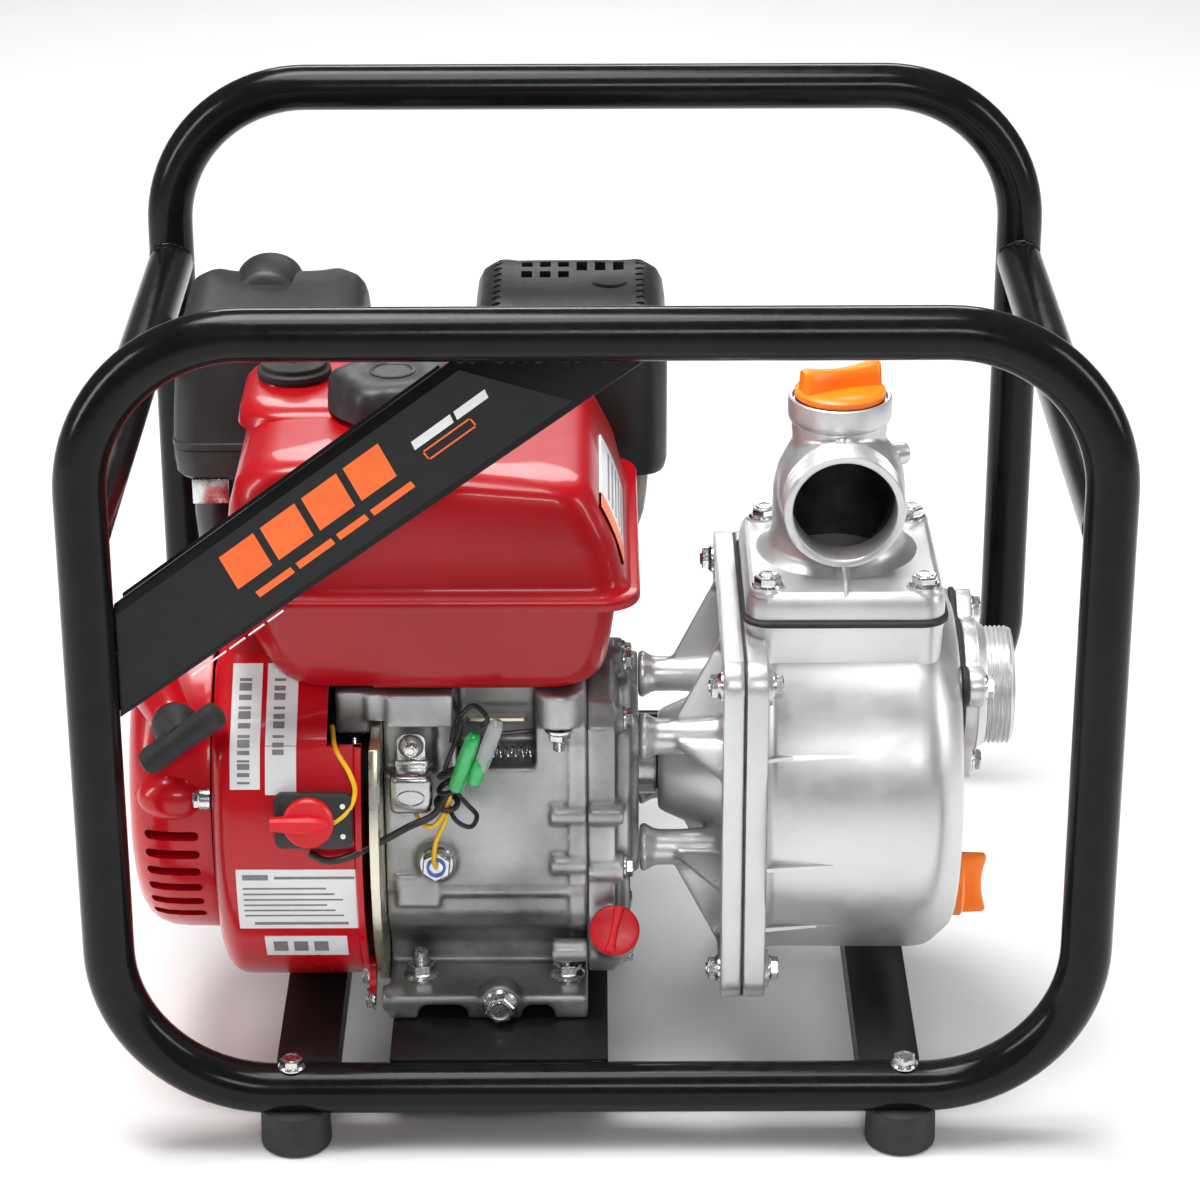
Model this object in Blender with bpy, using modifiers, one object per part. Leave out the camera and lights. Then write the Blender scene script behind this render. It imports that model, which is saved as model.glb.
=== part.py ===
"""Petrol-engine water pump in a tubular carry frame.

X runs along the crankshaft from the recoil starter to the suction port, +Y points
away from the discharge port and +Z is up.  The origin lies on the ground, under the
middle of the frame.  Lengths are metres and angles are degrees.
"""

import math

import bmesh
import bpy
from mathutils import Matrix, Vector

# ---- driving dimensions -------------------------------------------------------
GAP = 0.0003                 # clearance between pieces that touch

TUBE = 0.025                 # carry-frame tube diameter
FRAME_WIDTH = 0.500
LOOP_Y = 0.20075             # the two loops stand at -LOOP_Y and +LOOP_Y
LOOP_LOW = 0.0304            # height of the bottom tube's centreline
LOOP_HIGH = 0.425            # height of the top tube's centreline
LOOP_BEND = 0.078            # centreline radius of the loop's corners
SIDE_TUBE_Z = 0.326
FOOT_X = 0.150
FOOT_RADIUS = 0.0175
BAR_TOP = 0.041
BAR_X = 0.1442
BAR_WIDTH = 0.030
SHEET = 0.003                # cross-bar, engine-plate and bracket sheet

CRANK_Y = -0.080             # the crankshaft, pump shaft and impeller share this axis
CRANK_Z = 0.151
BASE_Z = 0.0438              # underside of the engine base
CASE_LEFT = -0.105
CASE_RIGHT = -0.005
COVER_RIGHT = 0.021
CYLINDER_TILT = 25.0         # the cylinder leans back from horizontal by this much
CYLINDER_X = -0.052
DECK = 0.136                 # crank axis to the top of the barrel
HEAD_TOP = 0.190             # crank axis to the rocker-cover joint
PLUG_X = CYLINDER_X + 0.032
PLUG_ACROSS = -0.004         # the spark plug sits a little below the cylinder's axis
FILLER_SEAT = (0.0085, -0.1560, 0.0930)
FILLER_OUT = (0, -math.cos(math.radians(35)), math.sin(math.radians(35)))

SHROUD_RADIUS = 0.108
SHROUD_LEFT = -0.187
SHROUD_RIGHT = -0.1103
SHROUD_TOP = 0.2363
SHROUD_SLOPE = 150.0         # the shroud's skin runs straight from here up to its top
RECOIL_RADIUS = 0.084
RECOIL_LEFT = -0.2325
PULL = Vector((0.35, -0.93, -0.10)).normalized()      # the way the rope is pulled
ROPE_ROOT = (-0.2160, -0.1290, 0.2130)
SPOUT = 0.027                # length of the rope's spout
SWITCH_OUT = Vector((0, -0.981, 0.194)).normalized()
SWITCH_X = -0.139

SEAM_Z = 0.2766              # seam between the two halves of the tank
TANK_TOP = 0.345
TANK_WALL = 0.002
FUEL_CAP = (-0.099, -0.085)
VAPOUR_VALVE = (-0.150, -0.045)
AIR_LOW, AIR_HIGH = (-0.2222, 0.022), (-0.117, 0.125)  # X and Y of the air cleaner's corners
AIR_SEAM = 0.280

FLANGE_LEFT = 0.0722         # joint face between adapter and pump casing
FLANGE_HALF = 0.0923
FLANGE_CORNER = 0.0143
CASING_RADIUS = 0.0956
CASING_RIGHT = 0.180
CHAMBER_TOP = 0.2495
PORT_BORE = 0.0254           # two-inch ports
PORT_THREAD = 0.030
DISCHARGE = (0.121, 0.302)   # X and Z of the discharge axis
DISCHARGE_FACE = -0.116
PRIMING = (0.120, -0.074)    # X and Y of the priming neck
PRIMING_RIM = 0.345
SUCTION_Z = 0.1927
SUCTION_FACE = 0.209
DRAIN = (-0.085, 0.082)      # Y and Z of the drain plug

AXES = {"X": Vector((1, 0, 0)), "Y": Vector((0, 1, 0)), "Z": Vector((0, 0, 1))}

# ---- scene, materials and helpers ----------------------------------------------
for old in list(bpy.data.objects):
    bpy.data.objects.remove(old, do_unlink=True)

PARTS = bpy.data.collections.new("water_pump")
CUTTERS = bpy.data.collections.new("cutters")
bpy.context.scene.collection.children.link(PARTS)
bpy.context.scene.collection.children.link(CUTTERS)


def material(name, colour, roughness, metallic):
    made = bpy.data.materials.new(name)
    made.use_nodes = True
    shader = made.node_tree.nodes["Principled BSDF"]
    shader.inputs["Base Color"].default_value = (*colour, 1)
    shader.inputs["Roughness"].default_value = roughness
    shader.inputs["Metallic"].default_value = metallic
    made.diffuse_color = (*colour, 1)
    return made


BLACK_PAINT = material("black_paint", (0.01, 0.01, 0.011), 0.25, 0.0)
RED_PAINT = material("red_paint", (0.45, 0.005, 0.015), 0.22, 0.0)
CAST = material("cast_aluminium", (0.42, 0.43, 0.44), 0.45, 0.9)
SILVER = material("silver_paint", (0.62, 0.63, 0.65), 0.35, 0.8)
STEEL = material("steel", (0.55, 0.55, 0.56), 0.3, 1.0)
ZINC = material("zinc_plate", (0.68, 0.66, 0.58), 0.3, 1.0)
IRON = material("cast_iron", (0.12, 0.12, 0.13), 0.6, 0.7)
RUBBER = material("black_rubber", (0.02, 0.02, 0.02), 0.75, 0.0)
BLACK_PLASTIC = material("black_plastic", (0.025, 0.025, 0.027), 0.5, 0.0)
RED_PLASTIC = material("red_plastic", (0.75, 0.02, 0.03), 0.4, 0.0)
ORANGE_PLASTIC = material("orange_plastic", (1.0, 0.24, 0.01), 0.4, 0.0)
FOAM = material("filter_foam", (0.1, 0.1, 0.1), 0.95, 0.0)


def put(name, data, look, location=(0, 0, 0), turn=None):
    """Link an object into the parts collection."""
    made = bpy.data.objects.new(name, data)
    made.location = location
    if turn is not None:
        made.rotation_euler = turn.to_euler()
    data.materials.append(look)
    PARTS.objects.link(made)
    return made


def smooth(mesh, angle=35):
    mesh.shade_smooth()
    mesh.set_sharp_from_angle(angle=math.radians(angle))


def box(name, low, high, look, rounding=0.0, steps=2):
    """A box between two corners, with its edges rounded if asked."""
    low, high = Vector(low), Vector(high)
    shape = bmesh.new()
    bmesh.ops.create_cube(shape, size=1.0)
    bmesh.ops.scale(shape, vec=high - low, verts=shape.verts)
    mesh = bpy.data.meshes.new(name)
    shape.to_mesh(mesh)
    shape.free()
    made = put(name, mesh, look, (low + high) / 2)
    if rounding:
        bevel(made, rounding, steps)
    return made


def bevel(piece, width, steps=2, angle=30):
    added = piece.modifiers.new("rounding", "BEVEL")
    added.width = width
    added.segments = steps
    added.limit_method = "ANGLE"
    added.angle_limit = math.radians(angle)
    added.use_clamp_overlap = True
    return piece


def facing(direction):
    return Vector(direction).to_track_quat("Z", "Y")


def rod(name, start, end, radius, look, sides=18, tip=None):
    """A cylinder, or a cone with another radius at its end."""
    start, end = Vector(start), Vector(end)
    shape = bmesh.new()
    bmesh.ops.create_cone(
        shape, cap_ends=True, segments=sides, radius1=radius,
        radius2=radius if tip is None else tip, depth=(end - start).length,
    )
    mesh = bpy.data.meshes.new(name)
    shape.to_mesh(mesh)
    shape.free()
    smooth(mesh)
    return put(name, mesh, look, (start + end) / 2, facing(end - start))


def turned(name, origin, axis, profile, look, steps=24, closed=False):
    """A turned shape: (radius, height) points, going down its outer side."""
    mesh = bpy.data.meshes.new(name)
    shape = bmesh.new()
    corners = [shape.verts.new((radius, 0, height)) for radius, height in profile]
    for first, second in zip(corners, corners[1:]):
        shape.edges.new((first, second))
    if closed:
        shape.edges.new((corners[-1], corners[0]))
    shape.to_mesh(mesh)
    shape.free()
    made = put(name, mesh, look, origin, facing(axis))
    screw = made.modifiers.new("turn", "SCREW")
    screw.steps = steps
    screw.render_steps = steps
    screw.use_merge_vertices = True
    screw.merge_threshold = 0.00001
    screw.use_smooth_shade = True
    return made


def ring(name, origin, axis, inner, outer, thickness, look, steps=24):
    """A flat ring, from its origin along its axis."""
    profile = [(outer, thickness), (outer, 0), (inner, 0), (inner, thickness)]
    return turned(name, origin, axis, profile, look, steps, closed=True)


def as_mesh(piece):
    """Swap a curve for the mesh that it draws, with its caps welded on."""
    bpy.context.view_layer.update()
    evaluated = piece.evaluated_get(bpy.context.evaluated_depsgraph_get())
    mesh = bpy.data.meshes.new_from_object(evaluated)
    shape = bmesh.new()
    shape.from_mesh(mesh)
    bmesh.ops.remove_doubles(shape, verts=shape.verts, dist=0.000001)
    bmesh.ops.recalc_face_normals(shape, faces=shape.faces)
    shape.to_mesh(mesh)
    shape.free()
    name, matrix = piece.name, piece.matrix_world.copy()
    bpy.data.objects.remove(piece, do_unlink=True)
    made = bpy.data.objects.new(name, mesh)
    made.matrix_world = matrix
    PARTS.objects.link(made)
    return made


def plate(name, outline, axis, start, end, look):
    """A flat outline in the other two axes, given in X, Y, Z order, made solid."""
    curve = bpy.data.curves.new(name, "CURVE")
    curve.dimensions = "2D"
    curve.fill_mode = "BOTH"
    curve.extrude = abs(end - start) / 2
    spline = curve.splines.new("POLY")
    spline.points.add(len(outline) - 1)
    for point, (across, up) in zip(spline.points, outline):
        point.co = (across, up, 0, 1)
    spline.use_cyclic_u = True
    first, second = [AXES[letter] for letter in "XYZ" if letter != axis]
    turn = Matrix((first, second, first.cross(second))).transposed()
    return as_mesh(put(name, curve, look, AXES[axis] * (start + end) / 2, turn))


def tube(name, points, radius, look, sides=12, closed=False):
    """A round bar, wire or pipe along a path."""
    curve = bpy.data.curves.new(name, "CURVE")
    curve.dimensions = "3D"
    curve.bevel_depth = radius
    curve.bevel_resolution = (sides - 4) // 2
    curve.use_fill_caps = not closed
    spline = curve.splines.new("POLY")
    spline.points.add(len(points) - 1)
    for point, place in zip(spline.points, points):
        point.co = (*place, 1)
    spline.use_cyclic_u = closed
    return as_mesh(put(name, curve, look))


def combine(target, operation, pieces):
    for piece in pieces:
        added = target.modifiers.new(piece.name, "BOOLEAN")
        added.operation = operation
        added.solver = "EXACT"
        added.object = piece
        PARTS.objects.unlink(piece)
        CUTTERS.objects.link(piece)
        piece.hide_render = True
        piece.display_type = "WIRE"
    return target


def join(target, *pieces):
    return combine(target, "UNION", pieces)


def cut(target, *pieces):
    return combine(target, "DIFFERENCE", pieces)


def pivot(piece, place):
    """Move a piece's origin to a point on its joint's axis."""
    bpy.context.view_layer.update()
    place = Vector(place)
    piece.data.transform(piece.matrix_world)
    piece.data.transform(Matrix.Translation(-place))
    piece.matrix_world = Matrix.Translation(place)
    return piece


def rounded(low, high, radius, steps=4):
    """A rectangle with round corners, counter-clockwise from its upper right."""
    centres = [
        (high[0] - radius, high[1] - radius), (low[0] + radius, high[1] - radius),
        (low[0] + radius, low[1] + radius), (high[0] - radius, low[1] + radius),
    ]
    return [
        (x + radius * math.cos(math.radians(90 * (corner + step / steps))),
         y + radius * math.sin(math.radians(90 * (corner + step / steps))))
        for corner, (x, y) in enumerate(centres)
        for step in range(steps + 1)
    ]


def arc(centre, radius, first, last, steps):
    """Points round a centre, from one angle to another."""
    return [
        (centre[0] + radius * math.cos(math.radians(first + (last - first) * step / steps)),
         centre[1] + radius * math.sin(math.radians(first + (last - first) * step / steps)))
        for step in range(steps + 1)
    ]


def smooth_path(points, per_span=4):
    """A smooth route through a few points (Catmull-Rom)."""
    points = [Vector(point) for point in points]
    ends = [2 * points[0] - points[1], *points, 2 * points[-1] - points[-2]]
    route = []
    for before, start, end, after in zip(ends, ends[1:], ends[2:], ends[3:]):
        for step in range(per_span):
            t = step / per_span
            route.append(0.5 * (
                2 * start + (end - before) * t
                + (2 * before - 5 * start + 4 * end - after) * t ** 2
                + (3 * start - before - 3 * end + after) * t ** 3
            ))
    return [*route, points[-1]]


def on_axis(x):
    """A point on the crankshaft's axis."""
    return (x, CRANK_Y, CRANK_Z)


# ---- carry frame -----------------------------------------------------------------
def frame_loop(name, y):
    half = FRAME_WIDTH / 2 - TUBE / 2
    outline = rounded((-half, LOOP_LOW), (half, LOOP_HIGH), LOOP_BEND, 6)
    return tube(name, [(x, y, z) for x, z in outline], TUBE / 2, BLACK_PAINT, 12, True)


def side_tube(name, x):
    """A tube between the loops, its ends coped to their uprights."""
    made = rod(name, (x, -LOOP_Y, SIDE_TUBE_Z), (x, LOOP_Y, SIDE_TUBE_Z), TUBE / 2, BLACK_PAINT)
    for y in (-LOOP_Y, LOOP_Y):
        low, high = (x, y, SIDE_TUBE_Z - TUBE), (x, y, SIDE_TUBE_Z + TUBE)
        cut(made, rod(f"{name}_cope", low, high, TUBE / 2 + GAP, BLACK_PAINT))
    return made


def channel(name, left, right, top, reach):
    """An inverted channel between the bottom tubes, coped over them."""
    low = top - 0.018
    outline = [
        (left, low), (left + SHEET, low), (left + SHEET, top - SHEET),
        (right - SHEET, top - SHEET), (right - SHEET, low), (right, low),
        (right, top), (left, top),
    ]
    made = plate(name, outline, "Y", -reach, reach, BLACK_PAINT)
    for y in (-LOOP_Y, LOOP_Y):
        start, end = (left - 0.01, y, LOOP_LOW), (right + 0.01, y, LOOP_LOW)
        cut(made, rod(f"{name}_cope", start, end, TUBE / 2 + GAP, BLACK_PAINT))
    return made


def nameplate_bracket():
    """A gusset plate welded across a corner of the front loop, with a folded upper edge."""
    inner_x = -(FRAME_WIDTH / 2 - TUBE) + GAP
    inner_z = LOOP_HIGH - TUBE / 2 - GAP
    outline = [(inner_x, 0.234), (0.0225, inner_z), (-0.065, inner_z), (inner_x, 0.292)]
    front = -0.2017
    made = plate("nameplate_bracket", outline, "Y", front, front + SHEET, BLACK_PAINT)
    upper = Vector((-0.065, inner_z)) - Vector((inner_x, 0.292))
    along = upper.normalized()
    start = Vector((inner_x, 0.292)) + along * 0.012
    end = start + along * (upper.length - 0.026)
    inward = Vector((along.y, -along.x)) * SHEET
    lip = [start, end, end + inward, start + inward]
    fold = plate("bracket_fold", lip, "Y", front + 0.001, front + 0.010, BLACK_PAINT)
    return join(made, fold)


def foot(name, x, y):
    """A rubber foot that wraps the underside of the bottom tube."""
    made = rod(name, (x, y, 0), (x, y, 0.0225), FOOT_RADIUS, RUBBER, 24, FOOT_RADIUS * 0.94)
    groove = rod(
        f"{name}_saddle", (x - 0.03, y, LOOP_LOW), (x + 0.03, y, LOOP_LOW), TUBE / 2 + GAP, RUBBER,
    )
    return cut(made, groove)


def frame():
    frame_loop("frame_front_loop", -LOOP_Y)
    frame_loop("frame_rear_loop", LOOP_Y)
    side = FRAME_WIDTH / 2 - TUBE / 2
    side_tube("frame_side_tube_left", -side)
    side_tube("frame_side_tube_right", side)
    channel("cross_bar_left", -BAR_X - BAR_WIDTH / 2, -BAR_X + BAR_WIDTH / 2, BAR_TOP, LOOP_Y)
    channel("cross_bar_right", BAR_X - BAR_WIDTH / 2, BAR_X + BAR_WIDTH / 2, BAR_TOP, LOOP_Y)
    channel("engine_mount_plate", -0.103, 0.005, BASE_Z - GAP, 0.196)
    nameplate_bracket()
    for across, x in (("left", -FOOT_X), ("right", FOOT_X)):
        for along, y in (("front", -LOOP_Y), ("rear", LOOP_Y)):
            foot(f"rubber_foot_{along}_{across}", x, y)


# ---- engine block ----------------------------------------------------------------
def from_crank(distance, across=0.0):
    """Y and Z of a point this far along the cylinder's axis, and this far above it."""
    lean = math.radians(CYLINDER_TILT)
    return (
        CRANK_Y + distance * math.cos(lean) - across * math.sin(lean),
        CRANK_Z + distance * math.sin(lean) + across * math.cos(lean),
    )


def leaning_block(name, start, end, half, left, right, look, rounding=0.0):
    """A block square to the cylinder's axis, between two distances from the crank."""
    outline = [
        from_crank(start, -half), from_crank(end, -half),
        from_crank(end, half), from_crank(start, half),
    ]
    made = plate(name, outline, "X", left, right, look)
    return bevel(made, rounding) if rounding else made


def crankcase():
    case = [
        (-0.158, BASE_Z), (0.038, BASE_Z), (0.038, 0.057), (0.010, 0.060), (0.006, 0.130),
        (-0.030, 0.200), (-0.060, 0.212), (-0.139, 0.212), (-0.147, 0.200), (-0.147, 0.060),
        (-0.158, 0.057),
    ]
    made = plate("crankcase", case, "X", CASE_LEFT, CASE_RIGHT, CAST)
    half = 0.046
    barrel = leaning_block(
        "barrel", 0.050, DECK, 0.036, CYLINDER_X - 0.038, CYLINDER_X + 0.038, CAST)
    fins = [
        leaning_block(f"barrel_fin_{n}", 0.074 + 0.0125 * n, 0.077 + 0.0125 * n, 0.042,
                      CYLINDER_X - half, CYLINDER_X + half, CAST)
        for n in range(5)
    ]
    left_rail = box("tank_rail", (-0.128, -0.152, 0.206), (-0.070, -0.110, 0.2217), CAST)
    under_rail = box("rail_notch", (-0.140, -0.160, 0.200), (-0.1045, -0.100, 0.2125), CAST)
    right_pillar = box("tank_pillar", (-0.028, -0.156, 0.178), (-0.006, -0.120, 0.2217), CAST)
    join(made, barrel, *fins, cut(left_rail, under_rail), right_pillar)
    hollow = [
        (-0.139, 0.060), (-0.002, 0.066), (-0.004, 0.125), (-0.037, 0.190), (-0.064, 0.204),
        (-0.134, 0.204), (-0.139, 0.196),
    ]
    bore_start, bore_end = (CYLINDER_X, *from_crank(0.04)), (CYLINDER_X, *from_crank(DECK + 0.01))
    cut(
        made,
        plate("case_hollow", hollow, "X", CASE_LEFT + 0.008, CASE_RIGHT + 0.01, CAST),
        rod("cylinder_bore", bore_start, bore_end, 0.034, CAST, 28),
        rod("left_bearing", on_axis(CASE_LEFT - 0.01), on_axis(CASE_LEFT + 0.02), 0.0154, CAST),
        box("skirt_left", (-0.089, -0.170, BASE_Z - 0.01), (-0.069, 0.05, BASE_Z + 0.006), CAST),
        box("skirt_right", (-0.036, -0.170, BASE_Z - 0.01), (-0.024, 0.05, BASE_Z + 0.006), CAST),
    )
    return made


def crankcase_cover():
    """The side cover that carries the pump's adapter and the oil filler."""
    outline = [
        (-0.138, 0.060), (-0.004, 0.060), (0.004, 0.070), (0.002, 0.130), (-0.034, 0.198),
        (-0.062, 0.211), (-0.136, 0.211), (-0.146, 0.200), (-0.146, 0.070),
    ]
    made = plate("crankcase_cover", outline, "X", CASE_RIGHT + GAP, COVER_RIGHT, CAST)
    inner = [
        (-0.130, 0.070), (-0.008, 0.070), (-0.010, 0.128), (-0.042, 0.190), (-0.066, 0.201),
        (-0.128, 0.201), (-0.136, 0.194), (-0.136, 0.078),
    ]
    seat, out = Vector(FILLER_SEAT), Vector(FILLER_OUT)
    join(made, rod("filler_boss", seat - out * 0.022, seat, 0.0115, CAST, 24))
    cut(
        made,
        plate("cover_hollow", inner, "X", CASE_RIGHT - 0.01, COVER_RIGHT - 0.008, CAST),
        rod("filler_hole", seat - out * 0.040, seat + out * 0.01, 0.0085, CAST, 24),
        rod("right_bearing", on_axis(CASE_RIGHT - 0.02), on_axis(COVER_RIGHT + 0.02), 0.0180, CAST),
    )
    return made


def cylinder_head():
    left, right = CYLINDER_X - 0.044, CYLINDER_X + 0.044
    made = leaning_block("cylinder_head", DECK + GAP, HEAD_TOP, 0.034, left + 0.004, right - 0.004, CAST)
    fins = [
        leaning_block(f"head_fin_{n}", DECK + 0.008 + 0.012 * n, DECK + 0.011 + 0.012 * n, 0.038,
                      left, right, CAST)
        for n in range(4)
    ]
    port = from_crank(0.162)
    for side, x in ((-1, left), (1, right)):
        fins.append(rod(f"port_boss_{side}", (x - side * 0.01, *port), (x + side * 0.001, *port),
                        0.016, CAST))
    join(made, *fins)
    start = (PLUG_X, *from_crank(HEAD_TOP - 0.016, PLUG_ACROSS))
    end = (PLUG_X, *from_crank(0.21, PLUG_ACROSS))
    return cut(made, rod("plug_hole", start, end, 0.0075, CAST))


def head_cover():
    made = leaning_block("head_cover", HEAD_TOP + GAP, HEAD_TOP + 0.030, 0.031,
                         CYLINDER_X - 0.040, CYLINDER_X + 0.018, STEEL, 0.006)
    return made


def spark_plug():
    def at(distance):
        return (PLUG_X, *from_crank(distance, PLUG_ACROSS))

    made = rod("spark_plug", at(HEAD_TOP - 0.014), at(HEAD_TOP + 0.004), 0.0070, STEEL)
    join(made, rod("plug_hex", at(HEAD_TOP + 0.0005), at(HEAD_TOP + 0.012), 0.0105, STEEL, 6))
    cap = rod("spark_plug_cap", at(HEAD_TOP + 0.0123), at(HEAD_TOP + 0.042), 0.0100, RUBBER, 20,
              0.0085)
    route = smooth_path([
        at(HEAD_TOP + 0.038), at(HEAD_TOP + 0.049), (-0.045, 0.153, 0.250), (-0.085, 0.142, 0.232),
        (-0.112, 0.118, 0.205), (-0.114, 0.070, 0.186), (-0.114, 0.0353, 0.186),
    ])
    return made, join(cap, tube("plug_lead", route, 0.0035, RUBBER, 8))


# ---- rotating line: crankshaft, flywheel, starter cup, impeller ------------------
def crankshaft():
    profile = [
        (0, 0.094), (0.0098, 0.094), (0.0098, 0.030), (0.0175, 0.030), (0.0175, -0.029),
        (0.036, -0.029), (0.036, -0.041), (0.012, -0.041), (0.012, -0.063), (0.036, -0.063),
        (0.036, -0.075), (0.015, -0.075), (0.015, -0.110), (0.0095, -0.110), (0.0095, -0.174),
        (0, -0.174),
    ]
    made = turned("crankshaft", on_axis(0), (1, 0, 0), profile, STEEL, 18)
    pin = from_crank(0.027)
    return join(made, rod("crank_pin", (-0.066, *pin), (-0.038, *pin), 0.0150, STEEL, 16))


def flywheel():
    """A dished iron wheel with cooling-fan blades on its outer face."""
    profile = [
        (0.020, -0.160), (0.0098, -0.160), (0.0098, -0.113), (0.022, -0.113), (0.022, -0.143),
        (0.072, -0.143), (0.072, -0.133), (0.080, -0.133), (0.080, -0.150), (0.020, -0.150),
    ]
    made = turned("flywheel", on_axis(0), (1, 0, 0), profile, IRON, 28, closed=True)
    blades = []
    count = 12
    for n in range(count):
        angle = 2 * math.pi * n / count
        blade = box(f"blade_{n}", (-0.176, 0.046, -0.0012), (-0.148, 0.078, 0.0012), IRON)
        turn = Matrix.Translation(on_axis(0)) @ Matrix.Rotation(angle, 4, "X")
        bpy.context.view_layer.update()
        blade.matrix_world = turn @ blade.matrix_world
        blades.append(blade)
    return join(made, *blades)


def starter_cup():
    profile = [(0.0098, -0.1603), (0.036, -0.1603), (0.036, -0.185), (0.0335, -0.185),
               (0.0335, -0.1635), (0.0098, -0.1635)]
    return turned("starter_cup", on_axis(0), (1, 0, 0), profile, ZINC, 24, closed=True)


def impeller():
    """A semi-open impeller: a back disc, a hub that takes the shaft and curved vanes."""
    profile = [
        (0, 0.104), (0.010, 0.104), (0.0150, 0.096), (0.0150, 0.0845), (0.046, 0.0845),
        (0.046, 0.0805), (0.0101, 0.0805), (0.0101, 0.0945), (0, 0.0945),
    ]
    made = turned("impeller", on_axis(0), (1, 0, 0), profile, IRON, 24)
    vanes = []
    for n in range(4):
        outer, inner = [], []
        for step in range(5):
            share = step / 4
            radius = 0.0125 + 0.0325 * share
            angle = math.radians(90 * n + 75 * share)
            half = math.radians(6.5 - 4.2 * share)
            outer.append((radius * math.cos(angle - half), radius * math.sin(angle - half)))
            inner.append((radius * math.cos(angle + half), radius * math.sin(angle + half)))
        outline = [(CRANK_Y + y, CRANK_Z + z) for y, z in outer + inner[::-1]]
        vanes.append(plate(f"vane_{n}", outline, "X", 0.0835, 0.0985, IRON))
    return join(made, *vanes)


# ---- fan shroud and recoil starter ------------------------------------------------
def shroud_outline(inset, duct_end):
    """A round fan housing with a flat top and a duct towards the cylinder."""
    radius = SHROUD_RADIUS - inset
    top = SHROUD_TOP - inset
    points = arc((CRANK_Y, CRANK_Z), radius, SHROUD_SLOPE, 345, 16)
    shoulder = (CRANK_Y - 0.055 + inset / 2, top)
    return [shoulder, *points, (duct_end - inset, 0.140 + inset), (duct_end - inset, top)]


def fan_shroud():
    wall = 0.0025
    made = plate("fan_shroud", shroud_outline(0, 0.035), "X", SHROUD_LEFT, SHROUD_RIGHT, RED_PAINT)
    bevel(made, 0.010, 2, 50)
    inner = plate("shroud_hollow", shroud_outline(wall, 0.035), "X", SHROUD_LEFT + wall,
                  SHROUD_RIGHT + 0.02, RED_PAINT)
    bevel(inner, 0.008, 2, 50)
    mouth = rod("shroud_mouth", on_axis(SHROUD_LEFT - 0.01), on_axis(SHROUD_LEFT + 0.01), 0.076,
                RED_PAINT, 28)
    notch = box("rail_clearance", (-0.1305, -0.200, 0.2045), (-0.100, -0.104, 0.260), RED_PAINT)
    return cut(made, inner, mouth, notch)


def baffle_plate():
    """The plated sheet behind the fan, between shroud and crankcase."""
    outline = shroud_outline(-0.0035, 0.031)
    outline = [(y, min(z, SHROUD_TOP - 0.009)) for y, z in outline]
    made = plate("baffle_plate", outline, "X", -0.1100, -0.1055, ZINC)
    hole = rod("baffle_hole", on_axis(-0.12), on_axis(-0.09), 0.024, ZINC)
    notch = box("baffle_notch", (-0.130, -0.200, 0.2045), (-0.100, -0.104, 0.260), ZINC)
    return cut(made, hole, notch)


def recoil_cover():
    wall = 0.0025
    length = SHROUD_LEFT - RECOIL_LEFT - 0.002
    profile = [
        (0, length), (0.055, length), (0.072, length - 0.004), (RECOIL_RADIUS - 0.002, length - 0.014),
        (RECOIL_RADIUS, 0), (RECOIL_RADIUS - wall, 0), (RECOIL_RADIUS - wall - 0.002, length - 0.015),
        (0.071, length - 0.0065), (0.055, length - wall), (0, length - wall),
    ]
    origin = on_axis(SHROUD_LEFT - 0.002)
    made = turned("recoil_cover", origin, (-1, 0, 0), profile, RED_PAINT, 32)
    post = rod("reel_post", on_axis(RECOIL_LEFT + 0.001), on_axis(-0.196), 0.0055, RED_PAINT, 16)
    bulge = box("bolt_bulge", (-0.222, -0.1685, 0.157), (-0.1895, -0.158, 0.183), RED_PAINT, 0.004)
    spout = rod("rope_spout", ROPE_ROOT, Vector(ROPE_ROOT) + PULL * SPOUT, 0.0105, RED_PAINT, 16)
    join(made, post, bulge, spout)
    slots = []
    for n in range(6):
        z = 0.098 + 0.0105 * n
        y = CRANK_Y - math.sqrt(RECOIL_RADIUS ** 2 - (z - CRANK_Z) ** 2)
        slots.append(box(f"slot_{n}", (-0.221, y - 0.01, z - 0.0022), (-0.195, y + 0.016, z + 0.0022),
                         RED_PAINT))
    eyelet = rod("rope_hole", Vector(ROPE_ROOT) - PULL * 0.02, Vector(ROPE_ROOT) + PULL * 0.04,
                 0.0045, RED_PAINT, 16)
    return cut(made, *slots, eyelet)


def recoil_reel():
    profile = [
        (0.044, 0.0), (0.044, -0.003), (0.031, -0.003), (0.031, -0.011), (0.044, -0.011),
        (0.044, -0.014), (0.0060, -0.014), (0.0060, 0.0),
    ]
    return turned("recoil_reel", on_axis(-0.204), (1, 0, 0), profile, BLACK_PLASTIC, 24, closed=True)


def starter_handle():
    """A rubber grip: a flared base at the rope and a slanting bar across it."""
    root = Vector(ROPE_ROOT) + PULL * (SPOUT + GAP)
    made = rod("starter_handle", root, root + PULL * 0.016, 0.0115, RUBBER, 20, 0.0065)
    middle = root + PULL * 0.019
    lean = Vector((0.62, 0.0, 0.785))
    bar = rod("grip_bar", middle - lean * 0.017, middle + lean * 0.017, 0.0070, RUBBER, 16)
    return pivot_after_join(made, bar, root)


def starter_rope():
    """The length of rope inside the spout, which comes out with the handle."""
    start, end = Vector(ROPE_ROOT) - PULL * 0.006, Vector(ROPE_ROOT) + PULL * SPOUT
    return rod("starter_rope", start, end, 0.0020, FOAM, 8)


def pivot_after_join(made, piece, place):
    pivot(made, place)
    return join(made, piece)


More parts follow.
